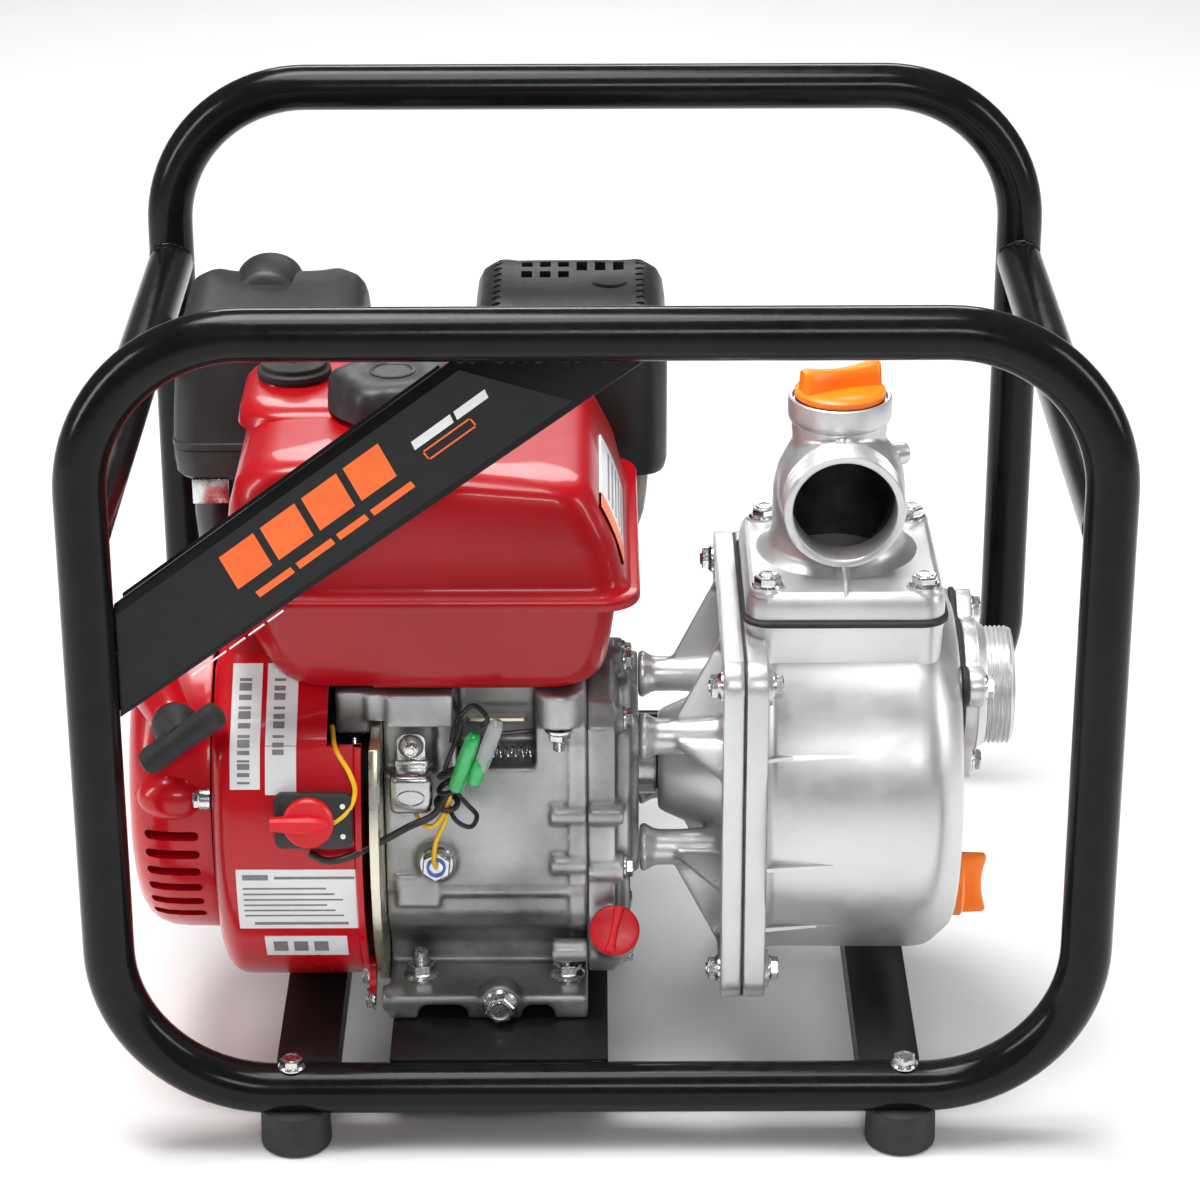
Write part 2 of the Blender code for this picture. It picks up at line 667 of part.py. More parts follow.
# ---- fuel tank --------------------------------------------------------------------
def tank_flange(name, low, high):
    outline = rounded((-0.183, -0.172), (0.021, 0.018), 0.016)
    return plate(name, outline, "Z", low, high, RED_PAINT)


def tank_profile(inset):
    return [
        (-0.176 + inset, SEAM_Z - 0.02), (0.013 - inset, SEAM_Z - 0.02), (0.010 - inset, 0.322),
        (-0.014 - inset, TANK_TOP - inset), (-0.140 + inset, TANK_TOP - inset),
        (-0.166 + inset, 0.338 - inset), (-0.178 + inset, 0.318 - inset),
    ]


def fuel_tank_upper():
    made = plate("fuel_tank_upper", tank_profile(0), "Y", -0.164, 0.010, RED_PAINT)
    bevel(made, 0.009, 2, 20)
    below = box("below_seam", (-0.25, -0.25, 0.2), (0.1, 0.1, SEAM_Z + GAP / 2), RED_PAINT)
    neck = rod("filler_neck", (*FUEL_CAP, TANK_TOP - 0.003), (*FUEL_CAP, TANK_TOP + 0.003), 0.024,
               RED_PAINT, 32)
    valve_neck = rod("valve_neck", (*VAPOUR_VALVE, TANK_TOP - 0.008), (*VAPOUR_VALVE, TANK_TOP + 0.003),
                     0.0165, RED_PAINT, 28)
    join(made, tank_flange("upper_flange", SEAM_Z + GAP / 2 - 0.0005, SEAM_Z + 0.0027), neck, valve_neck)
    inner = plate("upper_hollow", tank_profile(TANK_WALL), "Y", -0.162, 0.008, RED_PAINT)
    bevel(inner, 0.007, 2, 20)
    cap_hole = rod("cap_hole", (*FUEL_CAP, 0.33), (*FUEL_CAP, 0.36), 0.0165, RED_PAINT, 28)
    return cut(made, inner, cap_hole, below)


def pan_profile(inset):
    return [
        (-0.163 + inset, 0.290), (-0.152 + inset, 0.222 + inset), (-0.062, 0.222 + inset),
        (0.004 - inset, 0.252 + inset), (0.009 - inset, 0.290),
    ]


def fuel_tank_pan():
    made = plate("fuel_tank_pan", pan_profile(0), "X", -0.174, 0.011, RED_PAINT)
    bevel(made, 0.009, 2, 20)
    inner = plate("pan_hollow", pan_profile(TANK_WALL), "X", -0.172, 0.009, RED_PAINT)
    bevel(inner, 0.007, 2, 20)
    recess = plate("shroud_recess", shroud_outline(-0.0045, 0.05), "X", -0.20, -0.1045, RED_PAINT)
    recess_skin = shroud_outline(-0.0045 - TANK_WALL, 0.05)
    cut(inner, plate("recess_wall", recess_skin, "X", -0.21, -0.1025, RED_PAINT))
    above = box("above_seam", (-0.25, -0.25, SEAM_Z - GAP / 2), (0.1, 0.1, 0.33), RED_PAINT)
    join(made, tank_flange("lower_flange", SEAM_Z - 0.0027, SEAM_Z - GAP / 2 + 0.0005))
    return cut(made, inner, above, recess)


def fuel_cap():
    base = TANK_TOP + 0.003 + 0.002
    profile = [
        (0, 0.0155), (0.026, 0.0155), (0.0305, 0.012), (0.0320, 0.003), (0.0320, -0.0035),
        (0.0270, -0.0035), (0.0270, 0), (0.0150, 0), (0.0150, -0.012), (0, -0.012),
    ]
    made = turned("fuel_cap", (*FUEL_CAP, base), (0, 0, 1), profile, BLACK_PLASTIC, 24)
    low, high = Vector((-0.004, -0.024, 0.012)), Vector((0.004, 0.024, 0.0185))
    centre = Vector((*FUEL_CAP, base))
    join(made, box("cap_grip", centre + low, centre + high, BLACK_PLASTIC, 0.0015))
    ring("fuel_cap_gasket", (*FUEL_CAP, TANK_TOP + 0.003 + GAP), (0, 0, 1), 0.0168, 0.0235, 0.0014, RUBBER)
    return made


def tank_vapour_valve():
    profile = [
        (0, 0.018), (0.006, 0.018), (0.007, 0.011), (0.0165, 0.010), (0.0185, 0.0075), (0.0185, 0.0033),
        (0, 0.0033),
    ]
    return turned("tank_vapour_valve", (*VAPOUR_VALVE, TANK_TOP), (0, 0, 1), profile, RUBBER, 20)


# ---- air cleaner, carburettor and controls --------------------------------------
def air_cleaner():
    (left, front), (right, rear) = AIR_LOW, AIR_HIGH
    base = box("air_cleaner_base", (left, front, 0.262), (right, rear, AIR_SEAM - GAP), BLACK_PLASTIC, 0.004)
    join(base, box("intake_elbow", (-0.216, 0.044, 0.200), (-0.190, 0.086, 0.265), BLACK_PLASTIC, 0.005))
    cut(
        base,
        box("elbow_duct", (-0.212, 0.050, 0.206), (-0.196, 0.080, 0.30), BLACK_PLASTIC),
        rod("elbow_mouth", (-0.20, *from_crank(0.162)), (-0.18, *from_crank(0.162)), 0.011, BLACK_PLASTIC),
        box("tray", (left + 0.003, front + 0.003, 0.266), (right - 0.003, rear - 0.003, 0.30), BLACK_PLASTIC),
    )
    dome_left, dome_right = -0.205, -0.133

    def profile(inset):
        low = AIR_SEAM - 0.02 - inset
        return [
            (left + inset, low), (right - inset, low), (right - inset, 0.341 - inset),
            (dome_right + 0.008, 0.349 - inset), (dome_right - 0.004, 0.364 - inset),
            (dome_right - 0.014, 0.370 - inset), (dome_left + 0.018, 0.370 - inset),
            (dome_left + 0.006, 0.364 - inset), (dome_left - 0.006, 0.349 - inset),
            (left + inset, 0.341 - inset),
        ]

    cover = plate("air_cleaner_cover", profile(0), "Y", front, rear, BLACK_PLASTIC)
    bevel(cover, 0.005, 2, 25)
    hollow = plate("cover_inside", profile(0.003), "Y", front + 0.003, rear - 0.003, BLACK_PLASTIC)
    below = box("below_lid", (left - 0.01, front - 0.01, 0.25), (right + 0.01, rear + 0.01, AIR_SEAM),
                BLACK_PLASTIC)
    cut(cover, hollow, below)
    element = box("air_filter_element", (-0.200, 0.038, 0.284), (-0.139, 0.110, 0.337), FOAM)
    return base, cover, element


def carburetor():
    port_y, port_z = from_crank(0.162)
    low, high = (-0.184, port_y - 0.018, port_z - 0.016), (-0.140, port_y + 0.018, port_z + 0.015)
    made = box("carburetor", low, high, CAST)
    bowl_low, bowl_high = (-0.162, port_y, port_z - 0.045), (-0.162, port_y, port_z - 0.012)
    bowl = rod("float_bowl", bowl_low, bowl_high, 0.0175, CAST, 24)
    manifold = rod("manifold", (-0.143, port_y, port_z), (-0.0973, port_y, port_z), 0.013, CAST)
    flange = rod("air_flange", (-0.1897, port_y, port_z), (-0.182, port_y, port_z), 0.014, CAST)
    join(made, bowl, manifold, flange)
    throat = rod("throat", (-0.195, port_y, port_z), (-0.160, port_y, port_z), 0.0095, CAST)
    return cut(made, throat)


def lever(name, base, axis, arm, thickness, look, hub=0.006, tip=0.0045):
    """A flat hand lever: a hub on its pivot and an arm that reaches out from it."""
    base, axis, arm = Vector(base), Vector(axis).normalized(), Vector(arm)
    made = rod(name, base, base + axis * thickness * 1.6, hub, look, 16)
    across = axis.cross(arm).normalized()
    shape = bmesh.new()
    bmesh.ops.create_cube(shape, size=1.0)
    mesh = bpy.data.meshes.new(f"{name}_arm")
    shape.to_mesh(mesh)
    shape.free()
    blade = put(f"{name}_arm", mesh, look)
    centre = base + arm / 2 + axis * thickness / 2 + axis * 0.0002
    size = Matrix.Diagonal((arm.length, tip * 2, thickness, 1))
    frame_of = Matrix((arm.normalized(), across, axis)).transposed().to_4x4()
    blade.data.transform(frame_of @ size)
    blade.location = centre
    pivot(made, base)
    return join(made, blade)


def controls():
    port_y, port_z = from_crank(0.162)
    front = port_y + 0.0183
    lever("choke_lever", (-0.172, front, port_z + 0.006), (0, 1, 0), (-0.010, 0, 0.024), 0.003, BLACK_PLASTIC)
    lever("fuel_valve_lever", (-0.152, front, port_z - 0.006), (0, 1, 0), (0.024, 0, -0.004), 0.003,
          BLACK_PLASTIC)
    plate_outline = rounded((-0.124, -0.005), (-0.100, 0.034), 0.003, 2)
    post = (-0.112, 0.016)
    made = plate("throttle_plate", plate_outline, "Z", SHROUD_TOP + GAP, SHROUD_TOP + 0.0025, ZINC)
    join(made, rod("throttle_post", (*post, SHROUD_TOP + 0.001), (*post, 0.2392), 0.004, ZINC, 16))
    lever("throttle_lever", (*post, 0.2395), (0, 0, 1), (0.004, 0.122, 0), 0.002, ZINC)


# ---- exhaust ----------------------------------------------------------------------
def muffler():
    made = box("muffler", (-0.054, 0.036, 0.276), (0.028, 0.124, 0.341), STEEL, 0.010)
    port = (CYLINDER_X + 0.0455, *from_crank(0.162))
    turn = (0.014, port[1], port[2] + 0.004)
    route = smooth_path([port, (port[0] + 0.010, *port[1:]), turn, (0.018, port[1], 0.250),
                         (0.018, port[1], 0.280)], 3)
    return join(made, tube("exhaust_pipe", route, 0.010, STEEL, 12))


def muffler_shield():
    low, high = (-0.064, 0.025, 0.256), (0.0375, 0.135, 0.350)
    wall = 0.002
    made = box("muffler_shield", low, high, BLACK_PAINT, 0.010)
    inside = box("shield_inside", (low[0] + wall, low[1] + wall, 0.24),
                 (high[0] - wall, high[1] - wall, high[2] - wall), BLACK_PAINT, 0.008)
    below = box("shield_below", (-0.1, 0.0, 0.23), (0.1, 0.2, 0.262), BLACK_PAINT)
    head_room = leaning_block("head_room", 0.10, HEAD_TOP + 0.032, 0.0395, -0.2, 0.0, BLACK_PAINT)
    slots = [
        box(f"shield_slot_{row}_{column}", (-0.040 + 0.011 * column, 0.050 + 0.014 * row, 0.340),
            (-0.033 + 0.011 * column, 0.059 + 0.014 * row, 0.36), BLACK_PAINT)
        for row in range(2) for column in range(5)
    ]
    return cut(made, inside, below, head_room, *slots)


# ---- electrics and small engine pieces -------------------------------------------
def switch():
    """The engine's rotary stop switch, square to the shroud's skin."""
    skin = Vector(on_axis(SWITCH_X)) + SWITCH_OUT * (SHROUD_RADIUS + GAP)
    up = Vector((1, 0, 0)).cross(SWITCH_OUT) * -1
    body = box("switch_body", (-0.017, -0.014, 0.0), (0.021, 0.014, 0.0045), BLACK_PLASTIC, 0.002)
    turn = Matrix((Vector((1, 0, 0)), -up, SWITCH_OUT)).transposed().to_4x4()
    if turn.determinant() < 0:
        turn = Matrix((Vector((1, 0, 0)), up, SWITCH_OUT)).transposed().to_4x4()
    bpy.context.view_layer.update()
    body.matrix_world = Matrix.Translation(skin) @ turn @ body.matrix_world
    seat = skin + SWITCH_OUT * (0.0045 + GAP)
    knob = rod("switch_knob", seat, seat + SWITCH_OUT * 0.005, 0.0125, RED_PLASTIC, 28)
    tab = box("knob_tab", (-0.0190, -0.0035, 0.002), (0.0100, 0.0035, 0.0090), RED_PLASTIC, 0.001)
    bpy.context.view_layer.update()
    tab.matrix_world = Matrix.Translation(seat) @ turn @ tab.matrix_world
    pivot(knob, seat)
    join(knob, tab)
    return body, knob


def screw_plug(name, seat, out, stem, hole_depth, collar, height, wing, look, ring_radius):
    """A hand-turned plug: a stem in its hole, a sealing ring, a collar and a wing grip."""
    seat, out = Vector(seat), Vector(out).normalized()
    ring(f"{name}_o_ring", seat + out * GAP, out, stem + 0.0004, ring_radius, 0.0016, RUBBER, 20)
    start = 0.0016 + 2 * GAP
    profile = [
        (0, start + height), (collar - 0.001, start + height), (collar, start + height - 0.001),
        (collar, start), (stem, start), (stem, -hole_depth), (0, -hole_depth),
    ]
    made = turned(name, seat, out, profile, look, 24)
    half, thick, tall = wing
    grip = box(f"{name}_wing", (-half, -thick, start + height - 0.001), (half, thick, start + height + tall),
               look, 0.001)
    bpy.context.view_layer.update()
    grip.matrix_world = made.matrix_world @ grip.matrix_world
    return join(made, grip)


def oil_parts():
    screw_plug("oil_dipstick", FILLER_SEAT, FILLER_OUT, 0.0080, 0.018, 0.0125, 0.005, (0.0115, 0.002, 0.006),
               RED_PLASTIC, 0.0108)


def oil_alert_module():
    made = box("oil_alert_module", (-0.102, -0.163, 0.160), (-0.080, -0.1473, 0.183), ZINC, 0.003)
    tab = box("module_tab", (-0.098, -0.1493, 0.180), (-0.084, -0.1473, 0.199), ZINC)
    return join(made, tab)


# ---- pump --------------------------------------------------------------------------
def pump_square(name, left, right, look):
    half = FLANGE_HALF
    outline = rounded((CRANK_Y - half, CRANK_Z - half), (CRANK_Y + half, CRANK_Z + half), FLANGE_CORNER, 4)
    return plate(name, outline, "X", left, right, look)


def pump_adapter():
    """The casting that bolts the pump to the engine: a square flange on four pillars."""
    made = pump_square("pump_adapter", 0.0625, FLANGE_LEFT - GAP, SILVER)
    hub = rod("seal_housing", on_axis(0.034), on_axis(0.064), 0.026, SILVER, 28, 0.040)
    join(made, hub)
    for n in range(4):
        y = CRANK_Y + (0.037 if n % 2 else -0.037)
        z = CRANK_Z + (0.031 if n < 2 else -0.031)
        join(made, rod(f"pillar_{n}", (COVER_RIGHT + GAP, y, z), (0.064, y, z), 0.009, SILVER, 12, 0.0105))
    return cut(made, rod("shaft_hole", on_axis(0.02), on_axis(0.08), 0.0125, SILVER, 24))


def pump_casing():
    made = pump_square("pump_casing", FLANGE_LEFT, 0.083, SILVER)
    start = FLANGE_LEFT
    profile = [
        (0, CASING_RIGHT), (0.080, CASING_RIGHT), (0.0905, 0.1745), (CASING_RADIUS, 0.160),
        (CASING_RADIUS, start + 0.002), (0, start + 0.002),
    ]
    shell = turned("shell", on_axis(0), (1, 0, 0), profile, SILVER, 36)
    chamber = box("chamber", (start + 0.001, -0.135, 0.180), (0.1707, -0.025, CHAMBER_TOP), SILVER, 0.004)
    seat = box("chamber_trim", (start, -0.15, CHAMBER_TOP - 0.0005), (0.19, 0.0, 0.27), SILVER)
    join(made, shell, chamber)
    inner = [
        (0, 0.1745), (0.077, 0.1745), (0.0855, 0.1700), (0.0900, 0.158), (0.0900, start - 0.01),
        (0, start - 0.01),
    ]
    cut(
        made,
        turned("water_space", on_axis(0), (1, 0, 0), inner, SILVER, 36),
        box("chamber_space", (start + 0.008, -0.128, 0.170), (0.1640, -0.032, 0.27), SILVER),
        seat,
        rod("suction_hole", (0.16, CRANK_Y, SUCTION_Z), (0.20, CRANK_Y, SUCTION_Z), PORT_BORE, SILVER, 24),
        rod("drain_hole", (0.16, *DRAIN), (0.20, *DRAIN), 0.0122, SILVER, 20),
    )
    return made


def spiral(start, growth, steps=22):
    """A volute outline: its radius grows once round, to the outlet at the top."""
    points = []
    for step in range(steps + 1):
        share = step / steps
        angle = math.radians(80 + 352 * share)
        radius = start + growth * share
        points.append((CRANK_Y + radius * math.cos(angle), CRANK_Z + radius * math.sin(angle)))
    return points


def inner_volute():
    made = plate("inner_volute", spiral(0.0535, 0.016), "X", FLANGE_LEFT + 0.0085, 0.1120, IRON)
    scroll = plate("scroll", spiral(0.0490, 0.0155), "X", FLANGE_LEFT, 0.1070, IRON)
    eye = rod("eye", on_axis(0.10), on_axis(0.12), 0.022, IRON, 28)
    low, high = (FLANGE_LEFT, CRANK_Y + 0.018, CRANK_Z + 0.030), (0.1070, CRANK_Y + 0.046, 0.24)
    outlet = box("outlet", low, high, IRON)
    return cut(made, scroll, eye, outlet)


def top_gasket():
    made = box("top_gasket", (FLANGE_LEFT + GAP, -0.136, CHAMBER_TOP), (0.1712, -0.024, CHAMBER_TOP + 0.003),
               RUBBER)
    return cut(made, box("gasket_hole", (0.081, -0.127, 0.24), (0.163, -0.033, 0.26), RUBBER))


def discharge_elbow():
    """The top cover, with the discharge port to the front and the priming neck on top."""
    x, z = DISCHARGE
    base = CHAMBER_TOP + 0.003 + GAP
    outline = rounded((FLANGE_LEFT + GAP, -0.135), (0.1707, -0.025), 0.012, 3)
    made = plate("discharge_elbow", outline, "Z", base, 0.2665, SILVER)
    profile = [
        (0, PRIMING_RIM), (0.0250, PRIMING_RIM), (0.0250, 0.3345), (0.0225, 0.333), (0.0235, 0.325),
        (0.0310, 0.313), (0.0340, 0.292), (0.0330, 0.275), (0.0380, 0.264), (0, 0.264),
    ]
    riser = turned("riser", (*PRIMING, 0), (0, 0, 1), profile, SILVER, 24)
    port = rod("port", (x, PRIMING[1], z), (x, DISCHARGE_FACE, z), PORT_THREAD, SILVER, 28)
    join(made, riser, port)
    inside = [
        (0, 0.360), (0.0190, 0.360), (0.0190, 0.328), (0.0265, 0.312), (0.0265, 0.282), (0.0240, 0.24),
        (0, 0.24),
    ]
    return cut(
        made,
        turned("riser_bore", (*PRIMING, 0), (0, 0, 1), inside, SILVER, 24),
        rod("port_bore", (x, PRIMING[1], z), (x, DISCHARGE_FACE - 0.01, z), PORT_BORE, SILVER, 28),
    )


def suction_outline(scale=1.0):
    """A three-lobed flange outline round the suction port."""
    lobes = [(-0.041, 0.018), (0.0364, 0.0265), (0.0048, -0.0447)]
    points = []
    for step in range(40):
        angle = 2 * math.pi * step / 40
        direction = Vector((math.cos(angle), math.sin(angle)))
        reach = 0.0335
        for lobe in lobes:
            along = direction.dot(Vector(lobe))
            off = Vector(lobe).length_squared - along ** 2
            if along > 0 and off < 0.0095 ** 2:
                reach = max(reach, along + math.sqrt(0.0095 ** 2 - off))
        points.append((CRANK_Y + direction.x * reach * scale, SUCTION_Z + direction.y * reach * scale))
    return points


def suction_side():
    centre = (CRANK_Y, SUCTION_Z)
    left = CASING_RIGHT + GAP
    gasket = plate("suction_gasket", suction_outline(), "X", left, left + 0.0027, RUBBER)
    cut(gasket, rod("gasket_bore", (0.17, *centre), (0.20, *centre), PORT_BORE, RUBBER, 28))
    flange = plate("suction_flange", suction_outline(), "X", left + 0.003, 0.195, SILVER)
    join(flange, rod("suction_thread", (0.188, *centre), (SUCTION_FACE, *centre), PORT_THREAD, SILVER, 28))
    cut(flange, rod("suction_bore", (0.17, *centre), (0.22, *centre), PORT_BORE, SILVER, 28))
    flap = rod("check_valve_flap", (0.1710, *centre), (0.1742, *centre), 0.0285, RUBBER, 24)
    hinge = (0.1726, CRANK_Y, SUCTION_Z + 0.0320)
    pivot(flap, hinge)
    pin = rod("flap_pin", (0.1726, CRANK_Y - 0.015, hinge[2]), (0.1726, CRANK_Y + 0.015, hinge[2]), 0.0016,
              RUBBER, 12)
    strap = box("flap_strap", (0.1715, CRANK_Y - 0.012, SUCTION_Z + 0.020),
                (0.1737, CRANK_Y + 0.012, hinge[2] + 0.0005), RUBBER)
    join(flap, strap, pin)
    return gasket, flange, flap


def pump_plugs():
    screw_plug("priming_plug", (*PRIMING, PRIMING_RIM), (0, 0, 1), 0.0185, 0.013, 0.0225, 0.004,
               (0.020, 0.0035, 0.010), ORANGE_PLASTIC, 0.0222)
    screw_plug("drain_plug", (CASING_RIGHT, *DRAIN), (1, 0, 0), 0.0118, 0.010, 0.0165, 0.004,
               (0.0150, 0.003, 0.008), ORANGE_PLASTIC, 0.0150)


frame()
crankcase()
crankcase_cover()
cylinder_head()
head_cover()
spark_plug()
crankshaft()
flywheel()
starter_cup()
impeller()
fan_shroud()
baffle_plate()
recoil_cover()
recoil_reel()
starter_handle()
starter_rope()
fuel_tank_upper()
fuel_tank_pan()
fuel_cap()
tank_vapour_valve()
air_cleaner()
carburetor()
controls()
muffler()
muffler_shield()
switch()
oil_parts()
oil_alert_module()
pump_adapter()
pump_casing()
inner_volute()
top_gasket()
discharge_elbow()
suction_side()
pump_plugs()
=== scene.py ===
"""The finished look of a petrol-engine water pump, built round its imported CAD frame.

X runs along the crankshaft from the recoil starter to the suction port, +Y points away
from the discharge port and +Z is up.  Lengths are metres and angles are degrees.
"""

import math

import bmesh
import bpy
from mathutils import Matrix, Vector


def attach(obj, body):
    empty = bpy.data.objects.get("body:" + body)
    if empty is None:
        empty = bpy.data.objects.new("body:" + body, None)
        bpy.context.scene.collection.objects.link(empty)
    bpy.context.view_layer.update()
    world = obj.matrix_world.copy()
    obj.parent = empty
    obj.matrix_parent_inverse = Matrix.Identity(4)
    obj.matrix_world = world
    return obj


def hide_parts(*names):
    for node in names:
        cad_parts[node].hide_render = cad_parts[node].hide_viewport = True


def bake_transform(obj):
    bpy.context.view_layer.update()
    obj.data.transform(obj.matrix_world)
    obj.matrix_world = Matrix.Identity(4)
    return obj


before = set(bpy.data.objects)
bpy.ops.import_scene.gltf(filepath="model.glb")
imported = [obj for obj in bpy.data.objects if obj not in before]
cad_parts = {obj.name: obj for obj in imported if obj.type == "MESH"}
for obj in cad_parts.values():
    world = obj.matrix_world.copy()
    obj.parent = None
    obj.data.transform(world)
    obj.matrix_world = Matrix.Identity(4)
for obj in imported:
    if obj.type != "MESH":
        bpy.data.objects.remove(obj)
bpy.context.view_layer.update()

# ---- dimensions shared with the CAD ----------------------------------------------
TUBE = 0.0125                # radius of the frame's tubes
SIDE = 0.2375                # X of the loops' uprights
LOOP_Y = 0.20075
LOOP_LOW, LOOP_HIGH, LOOP_BEND = 0.0304, 0.425, 0.078
SIDE_TUBE_Z = 0.326
FOOT_X = 0.15
BRACKET_FRONT = -0.2017

CRANK_Y, CRANK_Z = -0.08, 0.151
CASE_LEFT, CASE_RIGHT, COVER_RIGHT = -0.105, -0.005, 0.021
BASE_Z = 0.0438
TILT = math.radians(25)
CYLINDER_X = -0.052
SHROUD_RADIUS, SHROUD_LEFT, SHROUD_RIGHT, SHROUD_TOP = 0.108, -0.187, -0.1103, 0.2363
SLOPE_START = 150.0          # the shroud's skin leaves its circle at this angle
RECOIL_SEAT = -0.189         # open edge of the recoil cover
PULL = Vector((0.35, -0.93, -0.1)).normalized()
ROPE_ROOT = Vector((-0.216, -0.129, 0.213))
SPOUT = 0.027
SWITCH_OUT = Vector((0, -0.981, 0.194)).normalized()
SWITCH_X = -0.139
FILLER_SEAT = Vector((0.0085, -0.156, 0.093))
FILLER_OUT = Vector((0, -math.cos(math.radians(35)), math.sin(math.radians(35))))

SEAM_Z, TANK_TOP = 0.2766, 0.345
FUEL_CAP, VAPOUR_VALVE = (-0.099, -0.085), (-0.15, -0.045)
FLANGE_LEFT, FLANGE_HALF, FLANGE_CORNER = 0.0722, 0.0923, 0.0143
CASING_RADIUS, CASING_RIGHT, CHAMBER_TOP = 0.0956, 0.18, 0.2495
BORE, THREAD = 0.0254, 0.03
DISCHARGE_X, DISCHARGE_Z, DISCHARGE_FACE = 0.121, 0.302, -0.116
PRIMING, PRIMING_RIM = (0.12, -0.074), 0.345
SUCTION_Z, SUCTION_FACE = 0.1927, 0.209
SUCTION_LOBES = [(-0.041, 0.018), (0.0364, 0.0265), (0.0048, -0.0447)]
DRAIN = (-0.085, 0.082)

# ---- dimensions of the finished look -----------------------------------------------
CASE_FRONT = -0.1445         # Y of the crankcase's front face
PILLAR = (0.037, 0.031)      # Y and Z of the four pillars from the crank's axis
FLANGE_SCREW = (0.078, 0.078)
COVER_SCREWS = [(-0.141, 0.1215), (-0.139, 0.0725), (-0.133, 0.2), (-0.08, 0.207), (-0.036, 0.1915),
                (-0.002, 0.129), (-0.004, 0.07), (-0.072, 0.0665)]
TOP_SCREWS = [(0.0835, -0.124), (0.16, -0.124), (0.0855, -0.0365), (0.16, -0.0365)]
DUCT_END = 0.035             # Y where the shroud's duct ends at the cylinder
SIDE_START, PAN_BOTTOM = 0.285, 0.2222
RISER_BORE, NECK_BORE = 0.0262, 0.019
PRINT_OUT = 0.0004           # how far print stands out of the shroud's skin

ROOT = "engine_and_frame"
X, Y, Z = Vector((1, 0, 0)), Vector((0, 1, 0)), Vector((0, 0, 1))


# ---- finishes ----------------------------------------------------------------------
def finish(name, tints, roughness, metallic=0.0, mottle=40.0, grain=(900.0, 0.00003),
           stretch=(1, 1, 1), edges=0.0, **sockets):
    """A painted, plated, moulded or cast surface.

    Its colour wanders between the tints in patches, its roughness between two values, and
    a grain (patches per metre, height) breaks its gloss.  Edges lightens the outer corners as
    wear and darkens the hollows and creases as painted shade.
    """
    made = bpy.data.materials.new(name)
    made.use_nodes = True
    tree = made.node_tree
    shader = tree.nodes["Principled BSDF"]
    shader.inputs["Metallic"].default_value = metallic
    for socket, value in sockets.items():
        shader.inputs[socket.replace("_", " ").title().replace("Ior", "IOR")].default_value = value

    def add(kind, **values):
        node = tree.nodes.new(f"ShaderNode{kind}")
        for key, value in values.items():
            if key in node.inputs:
                node.inputs[key].default_value = value
            else:
                setattr(node, key, value)
        return node

    def noise(scale, detail):
        node = add("TexNoise", Scale=scale, Detail=detail, Roughness=0.6)
        tree.links.new(stretched.outputs[0], node.inputs["Vector"])
        return node.outputs["Fac"]

    def remapped(source, *limits):
        """A value taken from one range to another."""
        node = add("MapRange")
        tree.links.new(source, node.inputs["Value"])
        for socket, limit in zip(("From Min", "From Max", "To Min", "To Max"), limits):
            node.inputs[socket].default_value = limit
        return node.outputs[0]

    stretched = add("Mapping", Scale=stretch)
    tree.links.new(add("TexCoord").outputs["Object"], stretched.inputs["Vector"])

    ramp = add("ValToRGB")
    stops = ramp.color_ramp.elements
    while len(stops) < len(tints):
        stops.new(0.5)
    for index, (stop, tint) in enumerate(zip(stops, tints)):
        stop.position = 0.32 + 0.36 * index / max(len(tints) - 1, 1)
        stop.color = (*tint, 1)
    tree.links.new(noise(mottle, 5), ramp.inputs[0])
    colour = ramp.outputs[0]
    # Pointiness scales the colour: hollows and creases darker as painted shade, outer edges lighter as
    # wear.
    if edges:
        edge_wear_and_hollow_shade = add("VectorMath", operation="SCALE")
        tree.links.new(colour, edge_wear_and_hollow_shade.inputs[0])
        corner = remapped(add("NewGeometry").outputs["Pointiness"], 0.47, 0.56, 1 - edges * 0.6, 1 + edges)
        tree.links.new(corner, edge_wear_and_hollow_shade.inputs["Scale"])
        colour = edge_wear_and_hollow_shade.outputs[0]
    tree.links.new(colour, shader.inputs["Base Color"])
    tree.links.new(remapped(noise(mottle * 4, 3), 0.3, 0.7, *roughness), shader.inputs["Roughness"])

    bump = add("Bump", Strength=1.0, Distance=grain[1])
    tree.links.new(noise(grain[0], 2), bump.inputs["Height"])
    tree.links.new(bump.outputs[0], shader.inputs["Normal"])
    return made


# Where edges is set, hollows are darkened as painted shade and outer edges lightened as wear.
BLACK_GLOSS = finish("black_gloss_paint", [(0.0045, 0.0045, 0.005), (0.008, 0.008, 0.009)],
                     (0.13, 0.22), mottle=30, grain=(420, 0.00003), specular_ior_level=0.17)
BLACK_SATIN = finish("black_satin_paint", [(0.008, 0.008, 0.0085), (0.014, 0.014, 0.0145)],
                     (0.32, 0.44), mottle=60, grain=(1500, 0.00003), specular_ior_level=0.4)
RED_TANK = finish("red_enamel", [(0.33, 0.0008, 0.004), (0.4, 0.0014, 0.007)], (0.3, 0.38),
                  mottle=12, grain=(350, 0.00002), coat_weight=0.32, coat_roughness=0.04,
                  specular_ior_level=0.25)
RED_HOUSING = finish("red_housing_enamel", [(0.47, 0.0012, 0.007), (0.55, 0.003, 0.011)],
                     (0.26, 0.36), mottle=14, grain=(380, 0.00002), coat_weight=0.35,
                     coat_roughness=0.05, specular_ior_level=0.25)
CAST = finish("cast_aluminium", [(0.17, 0.175, 0.18), (0.34, 0.345, 0.35), (0.56, 0.56, 0.56)],
              (0.34, 0.56), metallic=0.85, mottle=22, grain=(1300, 0.00009), edges=0.3)
